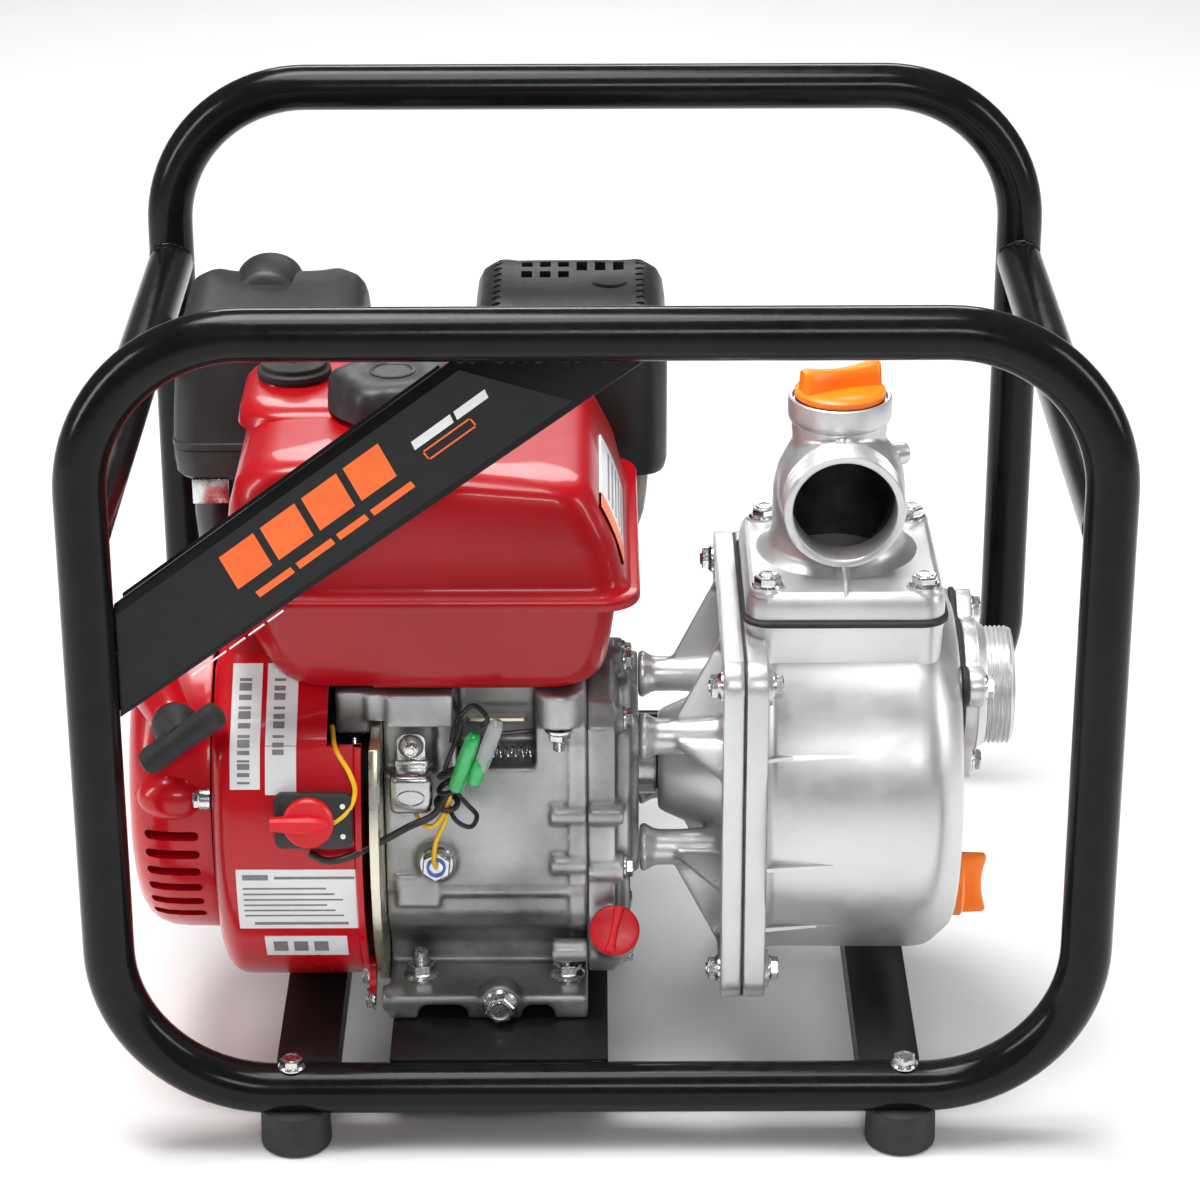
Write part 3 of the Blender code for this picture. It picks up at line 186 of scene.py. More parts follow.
CAST_PALE = finish("machined_aluminium", [(0.42, 0.42, 0.42), (0.62, 0.62, 0.61)],
                   (0.26, 0.42), metallic=0.95, mottle=50, grain=(1600, 0.00004), edges=0.15)
SILVER = finish("silver_casting", [(0.56, 0.565, 0.57), (0.63, 0.635, 0.64), (0.68, 0.68, 0.685)],
                (0.3, 0.42), metallic=0.72, mottle=18, grain=(2300, 0.00005))
ZINC = finish("zinc_plate", [(0.4, 0.42, 0.44), (0.62, 0.62, 0.58)], (0.16, 0.32), metallic=1.0,
              mottle=220, grain=(2500, 0.00002), edges=0.2)
YELLOW_ZINC = finish("yellow_zinc_plate", [(0.5, 0.48, 0.38), (0.66, 0.62, 0.46), (0.62, 0.64, 0.58)],
                     (0.24, 0.38), metallic=1.0, mottle=35, grain=(1800, 0.00003))
STEEL = finish("bright_steel", [(0.38, 0.38, 0.39), (0.58, 0.58, 0.58)], (0.18, 0.34), metallic=1.0,
               mottle=60, stretch=(0.15, 1, 1), grain=(1500, 0.00002))
HOT_STEEL = finish("exhaust_steel", [(0.1, 0.085, 0.075), (0.24, 0.22, 0.2)], (0.38, 0.58),
                   metallic=0.9, mottle=45, grain=(1400, 0.00006), edges=0.2)
IRON = finish("cast_iron", [(0.045, 0.045, 0.048), (0.1, 0.1, 0.105)], (0.48, 0.68), metallic=0.7,
              mottle=70, grain=(1200, 0.00012), edges=0.3)
RUBBER = finish("black_rubber", [(0.012, 0.012, 0.012), (0.024, 0.024, 0.024)], (0.58, 0.76),
                mottle=80, grain=(1700, 0.00006))
PLASTIC = finish("black_moulding", [(0.013, 0.013, 0.014), (0.021, 0.021, 0.022)], (0.4, 0.52),
                 mottle=50, grain=(2600, 0.00006), edges=0.25)
STICKER = finish("matt_black_film", [(0.012, 0.0125, 0.013), (0.016, 0.0165, 0.017)], (0.46, 0.54),
                 mottle=90, grain=(3000, 0.00002), specular_ior_level=0.25)
LABEL = finish("white_label", [(0.74, 0.74, 0.74), (0.82, 0.82, 0.82)], (0.34, 0.42), mottle=60,
               grain=(1600, 0.00001), coat_weight=0.3)
GREY_PRINT = finish("grey_print", [(0.16, 0.16, 0.17), (0.22, 0.22, 0.23)], (0.4, 0.5), mottle=300)
ORANGE_PRINT = finish("orange_print", [(0.95, 0.13, 0.012), (1.0, 0.17, 0.02)], (0.36, 0.46), mottle=60)
WHITE_PRINT = finish("white_print", [(0.8, 0.8, 0.8), (0.86, 0.86, 0.86)], (0.36, 0.46), mottle=60)
RED_PLASTIC = finish("red_moulding", [(0.56, 0.004, 0.01), (0.66, 0.008, 0.016)], (0.3, 0.42),
                     mottle=60, grain=(1800, 0.00003), edges=0.1, subsurface_weight=0.05)
ORANGE_PLASTIC = finish("orange_moulding", [(0.95, 0.19, 0.004), (1.0, 0.24, 0.008)], (0.3, 0.42),
                        mottle=60, grain=(1800, 0.00003), edges=0.08, subsurface_weight=0.05)
FOAM = finish("filter_foam", [(0.05, 0.05, 0.05), (0.14, 0.14, 0.13)], (0.9, 1.0), mottle=900,
              grain=(900, 0.0006))
ROPE = finish("woven_rope", [(0.1, 0.1, 0.1), (0.55, 0.54, 0.5)], (0.7, 0.85), mottle=700,
              grain=(1600, 0.0003))
BLACK_WIRE = finish("black_sleeve", [(0.01, 0.01, 0.01), (0.018, 0.018, 0.018)], (0.28, 0.42),
                    mottle=120)
YELLOW_WIRE = finish("yellow_sleeve", [(0.85, 0.48, 0.01), (0.95, 0.56, 0.02)], (0.3, 0.42), mottle=120)
GREEN_CLEAR = finish("green_clear_sleeve", [(0.02, 0.62, 0.14), (0.05, 0.8, 0.22)], (0.1, 0.2),
                     mottle=160, transmission_weight=0.45, coat_weight=0.5)
CLEAR = finish("clear_sleeve", [(0.8, 0.84, 0.84), (0.9, 0.92, 0.92)], (0.08, 0.18), mottle=160,
               transmission_weight=0.7, coat_weight=0.5)
BLUE = finish("blue_moulding", [(0.01, 0.12, 0.5), (0.02, 0.18, 0.65)], (0.25, 0.35), mottle=200)
# Dark finish for the gasket joints, and painted shade on the walls of the discharge and priming bores.
DARK_JOINT_AND_BORE_SHADE = finish("joint_and_painted_bore_shade", [(0.05, 0.05, 0.055), (0.12, 0.12, 0.125)], (0.5, 0.66), metallic=0.8,
                   mottle=60, grain=(900, 0.0001))


# ---- mesh building -----------------------------------------------------------------
def as_mesh(shape, name="shape"):
    """A bmesh handed over to a new mesh."""
    mesh = bpy.data.meshes.new(name)
    shape.to_mesh(mesh)
    shape.free()
    return mesh


def shaded(mesh, sharp=35):
    """Smooth shading, but for the edges over an angle."""
    mesh.shade_smooth()
    mesh.set_sharp_from_angle(angle=math.radians(sharp))
    return mesh


def linked(name, data):
    """A new object in the scene."""
    made = bpy.data.objects.new(name, data)
    bpy.context.scene.collection.objects.link(made)
    return made


def to_mesh(shape, sharp=35):
    """A bmesh welded, faced outwards and shaded smooth up to an angle."""
    bmesh.ops.remove_doubles(shape, verts=shape.verts, dist=0.000002)
    bmesh.ops.recalc_face_normals(shape, faces=shape.faces)
    return shaded(as_mesh(shape), sharp)


def loft(rings, closed=False, sharp=35):
    """A skin over rings of points, capped unless the last ring meets the first."""
    shape = bmesh.new()
    rows = [[shape.verts.new(point) for point in ring] for ring in rings]
    for low, high in [*zip(rows, rows[1:])] + ([(rows[-1], rows[0])] if closed else []):
        for corners in zip(low, low[1:] + low[:1], high[1:] + high[:1], high):
            shape.faces.new(corners)
    if not closed:
        shape.faces.new(rows[0])
        shape.faces.new(rows[-1])
    return to_mesh(shape, sharp)


def facing(direction, origin=(0, 0, 0), spin=0.0):
    """The matrix that takes +Z to a direction, and the origin to a place."""
    turn = Vector(direction).to_track_quat("Z", "Y").to_matrix().to_4x4()
    return Matrix.Translation(origin) @ turn @ Matrix.Rotation(math.radians(spin), 4, "Z")


def circle(steps):
    """The cosine and sine of evenly spaced angles round a circle."""
    angles = [2 * math.pi * n / steps for n in range(steps)]
    return [(math.cos(angle), math.sin(angle)) for angle in angles]


def lathe(profile, origin, axis, steps=48, closed=False, spin=0.0, sharp=35):
    """(radius, height) points turned round an axis."""
    place = facing(axis, origin, spin)
    rings = [[place @ Vector((radius * c, radius * s, height)) for c, s in circle(steps)]
             for radius, height in profile]
    return loft(rings, closed, sharp)


def pipe(points, radius, sides=16, closed=False):
    """A round bar along a path; the radius may change from point to point."""
    points = [Vector(point) for point in points]
    count = len(points)
    radii = radius if isinstance(radius, list) else [radius] * count
    rings, across = [], None
    for n, point in enumerate(points):
        after = points[(n + 1) % count] if closed or n < count - 1 else point
        before = points[n - 1] if closed or n else point
        along = (after - before).normalized()
        if across is None:
            across = Y.copy() if abs(along.y) < 0.01 else along.orthogonal().normalized()
        across = (across - along * across.dot(along)).normalized()
        up = along.cross(across)
        rings.append([point + radii[n] * (across * c + up * s) for c, s in circle(sides)])
    return loft(rings, closed)


def rod(radius, low, high, origin, axis, steps=48):
    """A plain round bar or disc between two heights."""
    return lathe([(0, low), (radius, low), (radius, high), (0, high)], origin, axis, steps)


def soften(mesh, width, steps=2, angle=30):
    """Round off the edges that are sharper than an angle."""
    shape = bmesh.new()
    shape.from_mesh(mesh)
    edges = [
        edge for edge in shape.edges
        if len(edge.link_faces) == 2 and edge.calc_face_angle(0) > math.radians(angle)
    ]
    bmesh.ops.bevel(shape, geom=edges, offset=width, offset_type="OFFSET", segments=steps,
                    profile=0.5, affect="EDGES", clamp_overlap=True)
    return to_mesh(shape)


def prism(outline, axis, start, end, rounding=0.0, steps=2):
    """A flat outline in the other two axes, given in X, Y, Z order, made solid."""
    def place(across, up, along):
        return {"X": (along, across, up), "Y": (across, along, up), "Z": (across, up, along)}[axis]

    mesh = loft([[place(*point, along) for point in outline] for along in (start, end)])
    return soften(mesh, rounding, steps) if rounding else mesh


def block(low, high, rounding=0.0, steps=2):
    """A box between two corners."""
    outline = [(low[0], low[1]), (high[0], low[1]), (high[0], high[1]), (low[0], high[1])]
    return prism(outline, "Z", low[2], high[2], rounding, steps)


def placed(mesh, matrix):
    """A mesh moved by a matrix."""
    mesh.transform(matrix)
    return mesh


def merge(*meshes):
    """Several meshes as one, still overlapping."""
    shape = bmesh.new()
    for mesh in meshes:
        shape.from_mesh(mesh)
    return as_mesh(shape)


def evaluated(mesh, *modifiers):
    """A mesh with modifiers applied: each is its type and its settings."""
    holder = linked("holder", mesh)
    for kind, settings in modifiers:
        added = holder.modifiers.new(kind, kind)
        for key, value in settings.items():
            setattr(added, key, value)
    bpy.context.view_layer.update()
    done = holder.evaluated_get(bpy.context.evaluated_depsgraph_get())
    made = bpy.data.meshes.new_from_object(done)
    bpy.data.objects.remove(holder)
    return made


def carve(mesh, *cutters, operation="DIFFERENCE"):
    """A mesh less its cutters, or joined to them."""
    tool = linked("cutter", merge(*cutters))
    settings = {"operation": operation, "object": tool, "solver": "EXACT", "use_self": True}
    made = evaluated(mesh, ("BOOLEAN", settings))
    bpy.data.objects.remove(tool)
    return shaded(made)


def casting(voxel, smoothing, *meshes, keep=0.5):
    """Shapes run together as one casting, with soft inner and outer corners."""
    made = evaluated(
        merge(*meshes),
        ("REMESH", {"mode": "VOXEL", "voxel_size": voxel}),
        ("SMOOTH", {"factor": 0.6, "iterations": smoothing}),
        ("DECIMATE", {"ratio": keep}),
    )
    return shaded(made, 60)


def split(mesh, inside):
    """A mesh in two: its faces inside a space, and the rest."""
    parts = []
    for wanted in (True, False):
        shape = bmesh.new()
        shape.from_mesh(mesh)
        others = [face for face in shape.faces if inside(face.calc_center_median()) != wanted]
        bmesh.ops.delete(shape, geom=others, context="FACES")
        parts.append(as_mesh(shape))
    return parts


def piece(name, parts, body=ROOT, slot=None, replaces=()):
    """Several (mesh, finish) pairs as one object that rides on a body."""
    shape = bmesh.new()
    looks = []
    for mesh, look in parts:
        if look not in looks:
            looks.append(look)
        first = len(shape.faces)
        shape.from_mesh(mesh)
        shape.faces.ensure_lookup_table()
        for face in shape.faces[first:]:
            face.material_index = looks.index(look)
    mesh = as_mesh(shape, name)
    for look in looks:
        mesh.materials.append(look)
    made = linked(name, mesh)
    if body:
        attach(made, body)
    if replaces:
        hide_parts(*replaces)
    return made


def rounded(low, high, radius, steps=6):
    """A rectangle with round corners, counter-clockwise from its upper right."""
    centres = [
        (high[0] - radius, high[1] - radius), (low[0] + radius, high[1] - radius),
        (low[0] + radius, low[1] + radius), (high[0] - radius, low[1] + radius),
    ]
    return [
        (x + radius * math.cos(math.radians(90 * (corner + step / steps))),
         y + radius * math.sin(math.radians(90 * (corner + step / steps))))
        for corner, (x, y) in enumerate(centres)
        for step in range(steps + 1)
    ]


def smooth_path(points, per_span=8):
    """A smooth route through a few points (Catmull-Rom)."""
    points = [Vector(point) for point in points]
    ends = [2 * points[0] - points[1], *points, 2 * points[-1] - points[-2]]
    route = []
    for before, start, end, after in zip(ends, ends[1:], ends[2:], ends[3:]):
        for step in range(per_span):
            t = step / per_span
            route.append(0.5 * (
                2 * start + (end - before) * t
                + (2 * before - 5 * start + 4 * end - after) * t ** 2
                + (3 * start - before - 3 * end + after) * t ** 3
            ))
    return [*route, points[-1]]


def ease(value, start, end):
    """0 before the start, 1 after the end and a smooth step between."""
    t = min(max((value - start) / (end - start), 0), 1)
    return t * t * (3 - 2 * t)


def on_axis(x):
    """The point of the crank's axis at an X."""
    return Vector((x, CRANK_Y, CRANK_Z))


def four(half_y, half_z):
    """The Y and Z of the four places round the crank's axis, each with its two sides."""
    sides = [(side_y, side_z) for side_y in (-1, 1) for side_z in (-1, 1)]
    return [(CRANK_Y + y * half_y, CRANK_Z + z * half_z, y, z) for y, z in sides]


def from_crank(distance, across=0.0):
    """Y and Z of a point this far along the cylinder's axis, and this far above it."""
    return (CRANK_Y + distance * math.cos(TILT) - across * math.sin(TILT),
            CRANK_Z + distance * math.sin(TILT) + across * math.cos(TILT))


# ---- fasteners ---------------------------------------------------------------------
def hexagon(seat, out, flats, low, high, spin=0.0):
    """A hex prism with a chamfered top."""
    radius = flats / math.sqrt(3)
    profile = [(radius, low), (radius, high - flats * 0.06), (radius * 0.9, high)]
    return lathe(profile, seat, out, 6, spin=spin)


def bolt(seat, out, flats=0.01, spin=20.0, washer=0.68):
    """A flanged hex bolt head with a dished top."""
    high = flats * 0.5
    flange = [
        (flats * washer, 0), (flats * washer, flats * 0.07), (flats * 0.6, flats * 0.17), (0, flats * 0.17),
    ]
    dish = [(flats * 0.4, high - 0.0002), (flats * 0.38, high + 0.0003), (flats * 0.24, high - 0.0001),
            (0, high - 0.0001)]
    return merge(lathe(flange, seat, out, 32), hexagon(seat, out, flats, 0.0, high, spin),
                 lathe(dish, seat, out, 24))


def screw_thread(radius, start, end, pitch=0.00125):
    """The profile of a threaded stud, between two heights."""
    turns = int((end - start) / pitch)
    profile = [(0, start)]
    for n in range(turns):
        profile += [(radius * 0.88, start + pitch * n), (radius, start + pitch * (n + 0.5))]
    return [*profile, (radius * 0.85, start + pitch * turns), (0, start + pitch * turns)]


def stud_nut(seat, out, flats=0.012, reach=0.016, spin=10.0):
    """A flanged nut on the end of a stud."""
    flange = [(flats * 0.72, 0), (flats * 0.72, 0.0012), (flats * 0.58, 0.0028), (0, 0.0028)]
    return merge(lathe(flange, seat, out, 32), hexagon(seat, out, flats, 0, flats * 0.62, spin),
                 lathe(screw_thread(flats * 0.31, 0.001, reach), seat, out, 20))


def pipe_thread(origin, axis, low, high, radius, bore, pitch=0.0023, depth=0.0012, steps=72):
    """An outside pipe thread on a sleeve, with its end face and bore."""
    place = facing(axis, origin)

    def ring(sizes, height):
        return [place @ Vector((size * c, size * s, height)) for size, (c, s) in zip(sizes, circle(steps))]

    rings = [ring([bore] * steps, low), ring([radius - depth] * steps, low)]
    rows = int((high - low) / pitch * 8)
    for row in range(rows + 1):
        height = low + (high - low - 0.001) * row / rows
        turns = [(height / pitch - n / steps) % 1.0 for n in range(steps)]
        rings.append(ring([radius - depth * min(abs(turn - 0.5) * 2.6, 1.0) for turn in turns], height))
    for size, height in ((radius - depth * 1.2, high), (bore + 0.0006, high), (bore, high - 0.0006)):
        rings.append(ring([size] * steps, height))
    return loft(rings, closed=True, sharp=50)


# ---- carry frame -------------------------------------------------------------------
def weld_bead(points, radius):
    """A weld: a cord of small overlapping ripples along a joint."""
    radii = [radius * (1 + 0.22 * math.sin(n * 1.9) + 0.1 * math.sin(n * 0.7)) for n in range(len(points))]
    return pipe(points, radii, 10)


def tube_joint(side, front):
    """The bead where a side tube meets an upright."""
    points = []
    for n in range(49):
        angle = 2 * math.pi * n / 48
        across, up = TUBE * math.cos(angle) * 0.86, TUBE * math.sin(angle)
        out = math.sqrt(TUBE ** 2 - across ** 2) * 0.97 + 0.0006
        points.append((side * SIDE + across, front * (LOOP_Y - out), SIDE_TUBE_Z + up))
    return weld_bead(points, 0.0016)


def frame_pieces():
    """The two loops, the side tubes welded between them and the rubber feet."""
    outline = rounded((-SIDE, LOOP_LOW), (SIDE, LOOP_HIGH), LOOP_BEND, 20)
    for name, front in (("front", -1), ("rear", 1)):
        y = front * LOOP_Y
        path = []
        for (x, z), (next_x, next_z) in zip(outline, outline[1:] + outline[:1]):
            spans = max(int(math.hypot(next_x - x, next_z - z) / 0.02), 1)
            path += [(x + (next_x - x) * k / spans, y, z + (next_z - z) * k / spans) for k in range(spans)]
        welds = [tube_joint(side, front) for side in (-1, 1)]
        screws = [bolt((side * 0.151, y, LOOP_LOW + TUBE - 0.0004), Z, 0.01, 12 * side + 14)
                  for side in (-1, 1)]
        loop = pipe(path, TUBE, 32, closed=True)
        piece(f"loop_{name}", [(merge(loop, *welds), BLACK_GLOSS), (merge(*screws), ZINC)],
              slot="black_paint", replaces=[f"frame_{name}_loop"])
    reach = LOOP_Y - TUBE * 0.5
    for name, side in (("left", -1), ("right", 1)):
        bar = pipe([(side * SIDE, -reach + reach * n / 8, SIDE_TUBE_Z) for n in range(17)], TUBE, 32)
        piece(f"side_tube_{name}", [(bar, BLACK_GLOSS)], slot="black_paint",
              replaces=[f"frame_side_tube_{name}"])
    foot = [
        (0, 0.004), (0.0055, 0.004), (0.006, 0.0), (0.0158, 0.0), (0.0172, 0.0008), (0.0175, 0.0022),
        (0.0171, 0.019), (0.0166, 0.0212), (0.015, 0.0223), (0, 0.0223),
    ]
    for along, y in (("front", -LOOP_Y), ("rear", LOOP_Y)):
        for across, x in (("left", -FOOT_X), ("right", FOOT_X)):
            piece(f"foot_{along}_{across}", [(lathe(foot, (x, y, 0), Z, 56), RUBBER)],
                  slot="black_rubber", replaces=[f"rubber_foot_{along}_{across}"])


def nameplate():
    """The gusset across the front loop's corner, with its sticker and plain printed bars."""
    left, top = -(SIDE - TUBE) + 0.0002, LOOP_HIGH - TUBE - 0.0002
    low, right, upper, high = (left, 0.234), (0.0225, top), (-0.065, top), (left, 0.292)
    back = BRACKET_FRONT + 0.003
    plate = prism([low, right, upper, high], "Y", BRACKET_FRONT, back, 0.0006)
    origin, end = Vector((high[0], 0, high[1])), Vector((upper[0], 0, upper[1]))
    along = (end - origin).normalized()
    down = Vector((along.z, 0, -along.x))
    length = (end - origin).length
    turns = [math.radians(90 * n / 8) for n in range(9)]
    skin_line = [(BRACKET_FRONT + 0.0026 * (1 - math.sin(turn)), 0.0026 * (1 - math.cos(turn)))
                 for turn in turns]
    section = [*skin_line, (back + 0.006, 0.0), (back + 0.006, 0.0022), (back, 0.0026)]
    fold = loft([[origin + along * (length * share) + down * drop + Y * y for y, drop in section]
                 for share in (0.02, 0.96)])
    front = BRACKET_FRONT - 0.00015

    def patch(across, drop, size, tall, skew=0.0, out=0.00012):
        """A printed bar that leans by skew, lying on the sticker."""
        corners = [(across, drop), (across + size, drop), (across + size - skew, drop + tall),
                   (across - skew, drop + tall)]
        return loft([[origin + along * a + down * d + Y * (front - lift) for a, d in corners]
                     for lift in (out, 0.0)])

    film = [(left + 0.001, 0.2375), (-0.0105, 0.393), (-0.062, top - 0.0042), (left + 0.001, 0.287)]
    sticker = prism(film, "Y", front, BRACKET_FRONT + 0.0002)
    blocks = [patch(0.0545 + 0.0245 * n, 0.0108, 0.0205, 0.0178, 0.003) for n in range(4)]
    underline = [patch(start, 0.0345, size, 0.0034) for start, size in
                 ((0.057, 0.021), (0.081, 0.021), (0.105, 0.017), (0.125, 0.024))]
    outline = [patch(0.162, drop, 0.028, 0.0008) for drop in (0.0262, 0.0308)]
    outline += [patch(start, 0.0262, 0.0008, 0.0054) for start in (0.162, 0.1892)]
    caption = [patch(start, 0.0195, size, 0.0042, 0.001)
               for start, size in ((0.161, 0.0225), (0.1855, 0.018))]
    foot_line = [patch(0.006 + 0.0115 * n, 0.0492, 0.0095, 0.0009) for n in range(5)]
    welds = [
        weld_bead([(left + 0.001, BRACKET_FRONT + 0.0015, 0.238 + 0.0018 * n) for n in range(30)], 0.0016),
        weld_bead([(-0.063 + 0.0018 * n, BRACKET_FRONT + 0.0015, top) for n in range(47)], 0.0016),
    ]
    piece("name_bracket", [
        (merge(plate, fold, *welds), BLACK_GLOSS), (sticker, STICKER),
        (merge(*blocks, *underline, *outline), ORANGE_PRINT), (merge(*caption, *foot_line), WHITE_PRINT),
    ], slot="black_paint", replaces=["nameplate_bracket"])


# ---- fuel tank -----------------------------------------------------------------------
def ring_in(box, inset, radius, z):
    """A round-cornered ring at a height, drawn in from a box's left, right, front and rear."""
    left, right, front, rear = box
    return [(x, y, z) for x, y in rounded((left + inset, front + inset), (right - inset, rear - inset),
                                          radius, 8)]


def tank_top(x):
    """How far the tank's roof falls towards the pump."""
    return 0.0085 * ease(x, -0.125, -0.07) + 0.0045 * ease(x, -0.075, 0.01)


def tank_pieces():
    """The fuel tank: its upper shell and pan, the seam's lip, the raised deck and both necks."""
    lip = [ring_in((-0.183, 0.021, -0.172, 0.018), inset, 0.018 - inset, SEAM_Z + height)
           for inset, height in ((0.01, 0.003), (0.002, 0.003), (0.0006, 0.0024), (0, 0.0012), (0, -0.0012),
                                 (0.0006, -0.0024), (0.002, -0.003), (0.01, -0.003))]
    levels = [
        (0.2785, -0.005, 0.0, 0.0), (0.28, -0.003, 0.0, 0.0), (0.2822, -0.001, 0.0, 0.0),
        (0.285, 0.0, 0.0, 0.0), (0.305, 0.001, 0.0005, 0.003), (0.32, 0.0022, 0.001, 0.0062),
        (0.332, 0.0036, 0.003, 0.009), (0.3375, 0.0048, 0.006, 0.01), (0.3406, 0.0064, 0.0085, 0.0106),
        (0.3425, 0.0088, 0.011, 0.011), (0.3437, 0.0122, 0.015, 0.0115), (0.3443, 0.018, 0.02, 0.012),
        (0.3446, 0.03, 0.024, 0.014),
    ]
    rings = []
    for z, inset, left, right in levels:
        ring = ring_in((-0.178 + left, 0.013 - right, -0.1645, 0.0105), inset, 0.017 + inset * 0.3, z)
        rings.append([(x, y, height - tank_top(x) * ease(height, SIDE_START, 0.344))
                      for x, y, height in ring])
    shell = loft(rings, sharp=50)
    deck = [ring_in((-0.174, -0.06, -0.096, -0.01), inset, 0.024, z)
            for z, inset in ((0.336, -0.002), (0.3425, -0.001), (0.345, 0.001), (0.3466, 0.004),
                             (0.3472, 0.009), (0.3474, 0.02))]
    raised = loft([[(x, y, z - 0.0015 * ease(x, -0.1, -0.06)) for x, y, z in ring] for ring in deck],
                  sharp=50)
    filler = lathe([(0.0285, 0.34), (0.0262, 0.3455), (0.0245, 0.3468), (0.024, 0.3478), (0.0, 0.348)],
                   (*FUEL_CAP, 0), Z, 56)
    neck = lathe([(0.025, 0.338), (0.0215, 0.3425), (0.0188, 0.3455), (0.0178, 0.3478), (0.0, 0.348)],
                 (*VAPOUR_VALVE, 0), Z)
    pan_levels = [
        (0.276, 0.0, 0.0), (0.274, 0.001, 0.001), (0.27, 0.0016, 0.002), (0.26, 0.003, 0.0045),
        (0.248, 0.0046, 0.0085), (0.237, 0.0066, 0.014), (0.23, 0.009, 0.0185), (0.2258, 0.012, 0.0225),
        (0.2232, 0.016, 0.027), (PAN_BOTTOM, 0.022, 0.032),
    ]
    rings = []
    for z, inset, left in pan_levels:
        ring = ring_in((-0.174 + left - inset, 0.0115, -0.163, 0.0095), inset, 0.02, z)
        depth = (SEAM_Z - z) / (SEAM_Z - PAN_BOTTOM)
        rings.append([(x, y, height + 0.03 * ease(y, -0.07, 0.004) * depth) for x, y, height in ring])
    pan = carve(loft(rings, sharp=50), prism(shroud_outline(-0.003, 0.05), "X", -0.2, SHROUD_RIGHT + 0.002))
    piece("fuel_tank", [(merge(shell, raised, filler, neck), RED_TANK), (loft(lip, closed=True), RED_TANK),
                        (pan, RED_TANK)], slot="red_paint", replaces=["fuel_tank_upper", "fuel_tank_pan"])

    def side_patch(low, high, bottom, top, out):
        """A label or printed bar that follows the tank's leaning side."""
        rings = []
        for n in range(9):
            z = bottom + (top - bottom) * n / 8
            rise = z - SIDE_START
            face = 0.0132 - 0.16 * rise - 5.5 * rise ** 2
            rings.append([(face - 0.0015, low, z), (face + out, low, z), (face + out, high, z),
                          (face - 0.0015, high, z)])
        return loft(rings)

    lines = [side_patch(-0.12, -0.06, 0.292 + 0.0045 * n, 0.2935 + 0.0045 * n, 0.0008) for n in range(5)]
    piece("tank_label", [(side_patch(-0.146, -0.052, 0.288, 0.318, 0.0006), LABEL),
                         (side_patch(-0.146, -0.128, 0.288, 0.318, 0.0008), ORANGE_PRINT),
                         (merge(*lines), GREY_PRINT)])


def cap_pieces():
    """The fuel cap with its finger scallops, and the vapour valve beside it."""
    x, y = FUEL_CAP
    base = TANK_TOP + 0.005
    rings = []
    for radius, height, depth in ((0.03, -0.0035, 0.0), (0.0318, -0.0025, 0.0), (0.032, 0.001, 0.3),
                                  (0.0319, 0.006, 1.0), (0.0312, 0.0105, 1.0), (0.0298, 0.0128, 0.9),
                                  (0.027, 0.0142, 0.7), (0.0225, 0.015, 0.3), (0.015, 0.0154, 0.0),
                                  (0.014, 0.0148, 0.0), (0.006, 0.0147, 0.0), (0.001, 0.0147, 0.0)):
        ring = []
        for n in range(120):
            angle = 2 * math.pi * n / 120
            scallop = max(math.cos(5 * angle), -0.35) + 0.35
            size = radius - depth * 0.0028 * (1.35 - scallop)
            ring.append((x + size * math.cos(angle + 0.5), y + size * math.sin(angle + 0.5), base + height))
        rings.append(ring)
    cap = loft(rings, sharp=50)
    oval = lathe([(0.0112, 0.0146), (0.0112, 0.0153), (0.01, 0.0156), (0.009, 0.015), (0.009, 0.0146)],
                 (x, y, base), Z, closed=True)
    stem = lathe([(0.0, 0.0), (0.015, 0.0), (0.015, -0.0115), (0.014, -0.012), (0.0, -0.012)],
                 (x, y, base), Z, 40)
    piece("filler_cap", [(merge(cap, oval, stem), PLASTIC)], body="fuel_cap_turn", slot="black_plastic",
          replaces=["fuel_cap"])
    profile = [
        (0.0, 0.0033), (0.0182, 0.0033), (0.0186, 0.0045), (0.0183, 0.0068), (0.017, 0.0078),
        (0.0163, 0.0078), (0.016, 0.0086), (0.0165, 0.0094), (0.0163, 0.0104), (0.014, 0.0112),
        (0.0092, 0.0114), (0.008, 0.012), (0.0076, 0.0165), (0.0066, 0.0178), (0.0, 0.018),
    ]
    piece("vapour_valve", [(lathe(profile, (*VAPOUR_VALVE, TANK_TOP), Z), RUBBER)],
          slot="black_rubber", replaces=["tank_vapour_valve"])


# ---- fan shroud and recoil starter ---------------------------------------------------
def shroud_outline(inset, duct_end):
    """A round fan housing with a sloping skin up to its flat top and a duct to the cylinder."""
    radius, top, low = SHROUD_RADIUS - inset, SHROUD_TOP - inset, 0.14 + inset
    steps = 48
    around = [math.radians(SLOPE_START + (345 - SLOPE_START) * n / steps) for n in range(steps + 1)]
    points = [(CRANK_Y + radius * math.cos(a), CRANK_Z + radius * math.sin(a)) for a in around]
    start, shoulder = Vector(points[0]), Vector((CRANK_Y - 0.055 + inset / 2, top))
    slope = [tuple(shoulder.lerp(start, k / 8)) for k in range(8)]
    roof = [(duct_end - inset + (shoulder.x - duct_end + inset) * k / 8, top) for k in range(8)]
    side = [(duct_end - inset, low + (top - low) * k / 6) for k in range(6)]
    return [*roof, *slope, *points, *side]


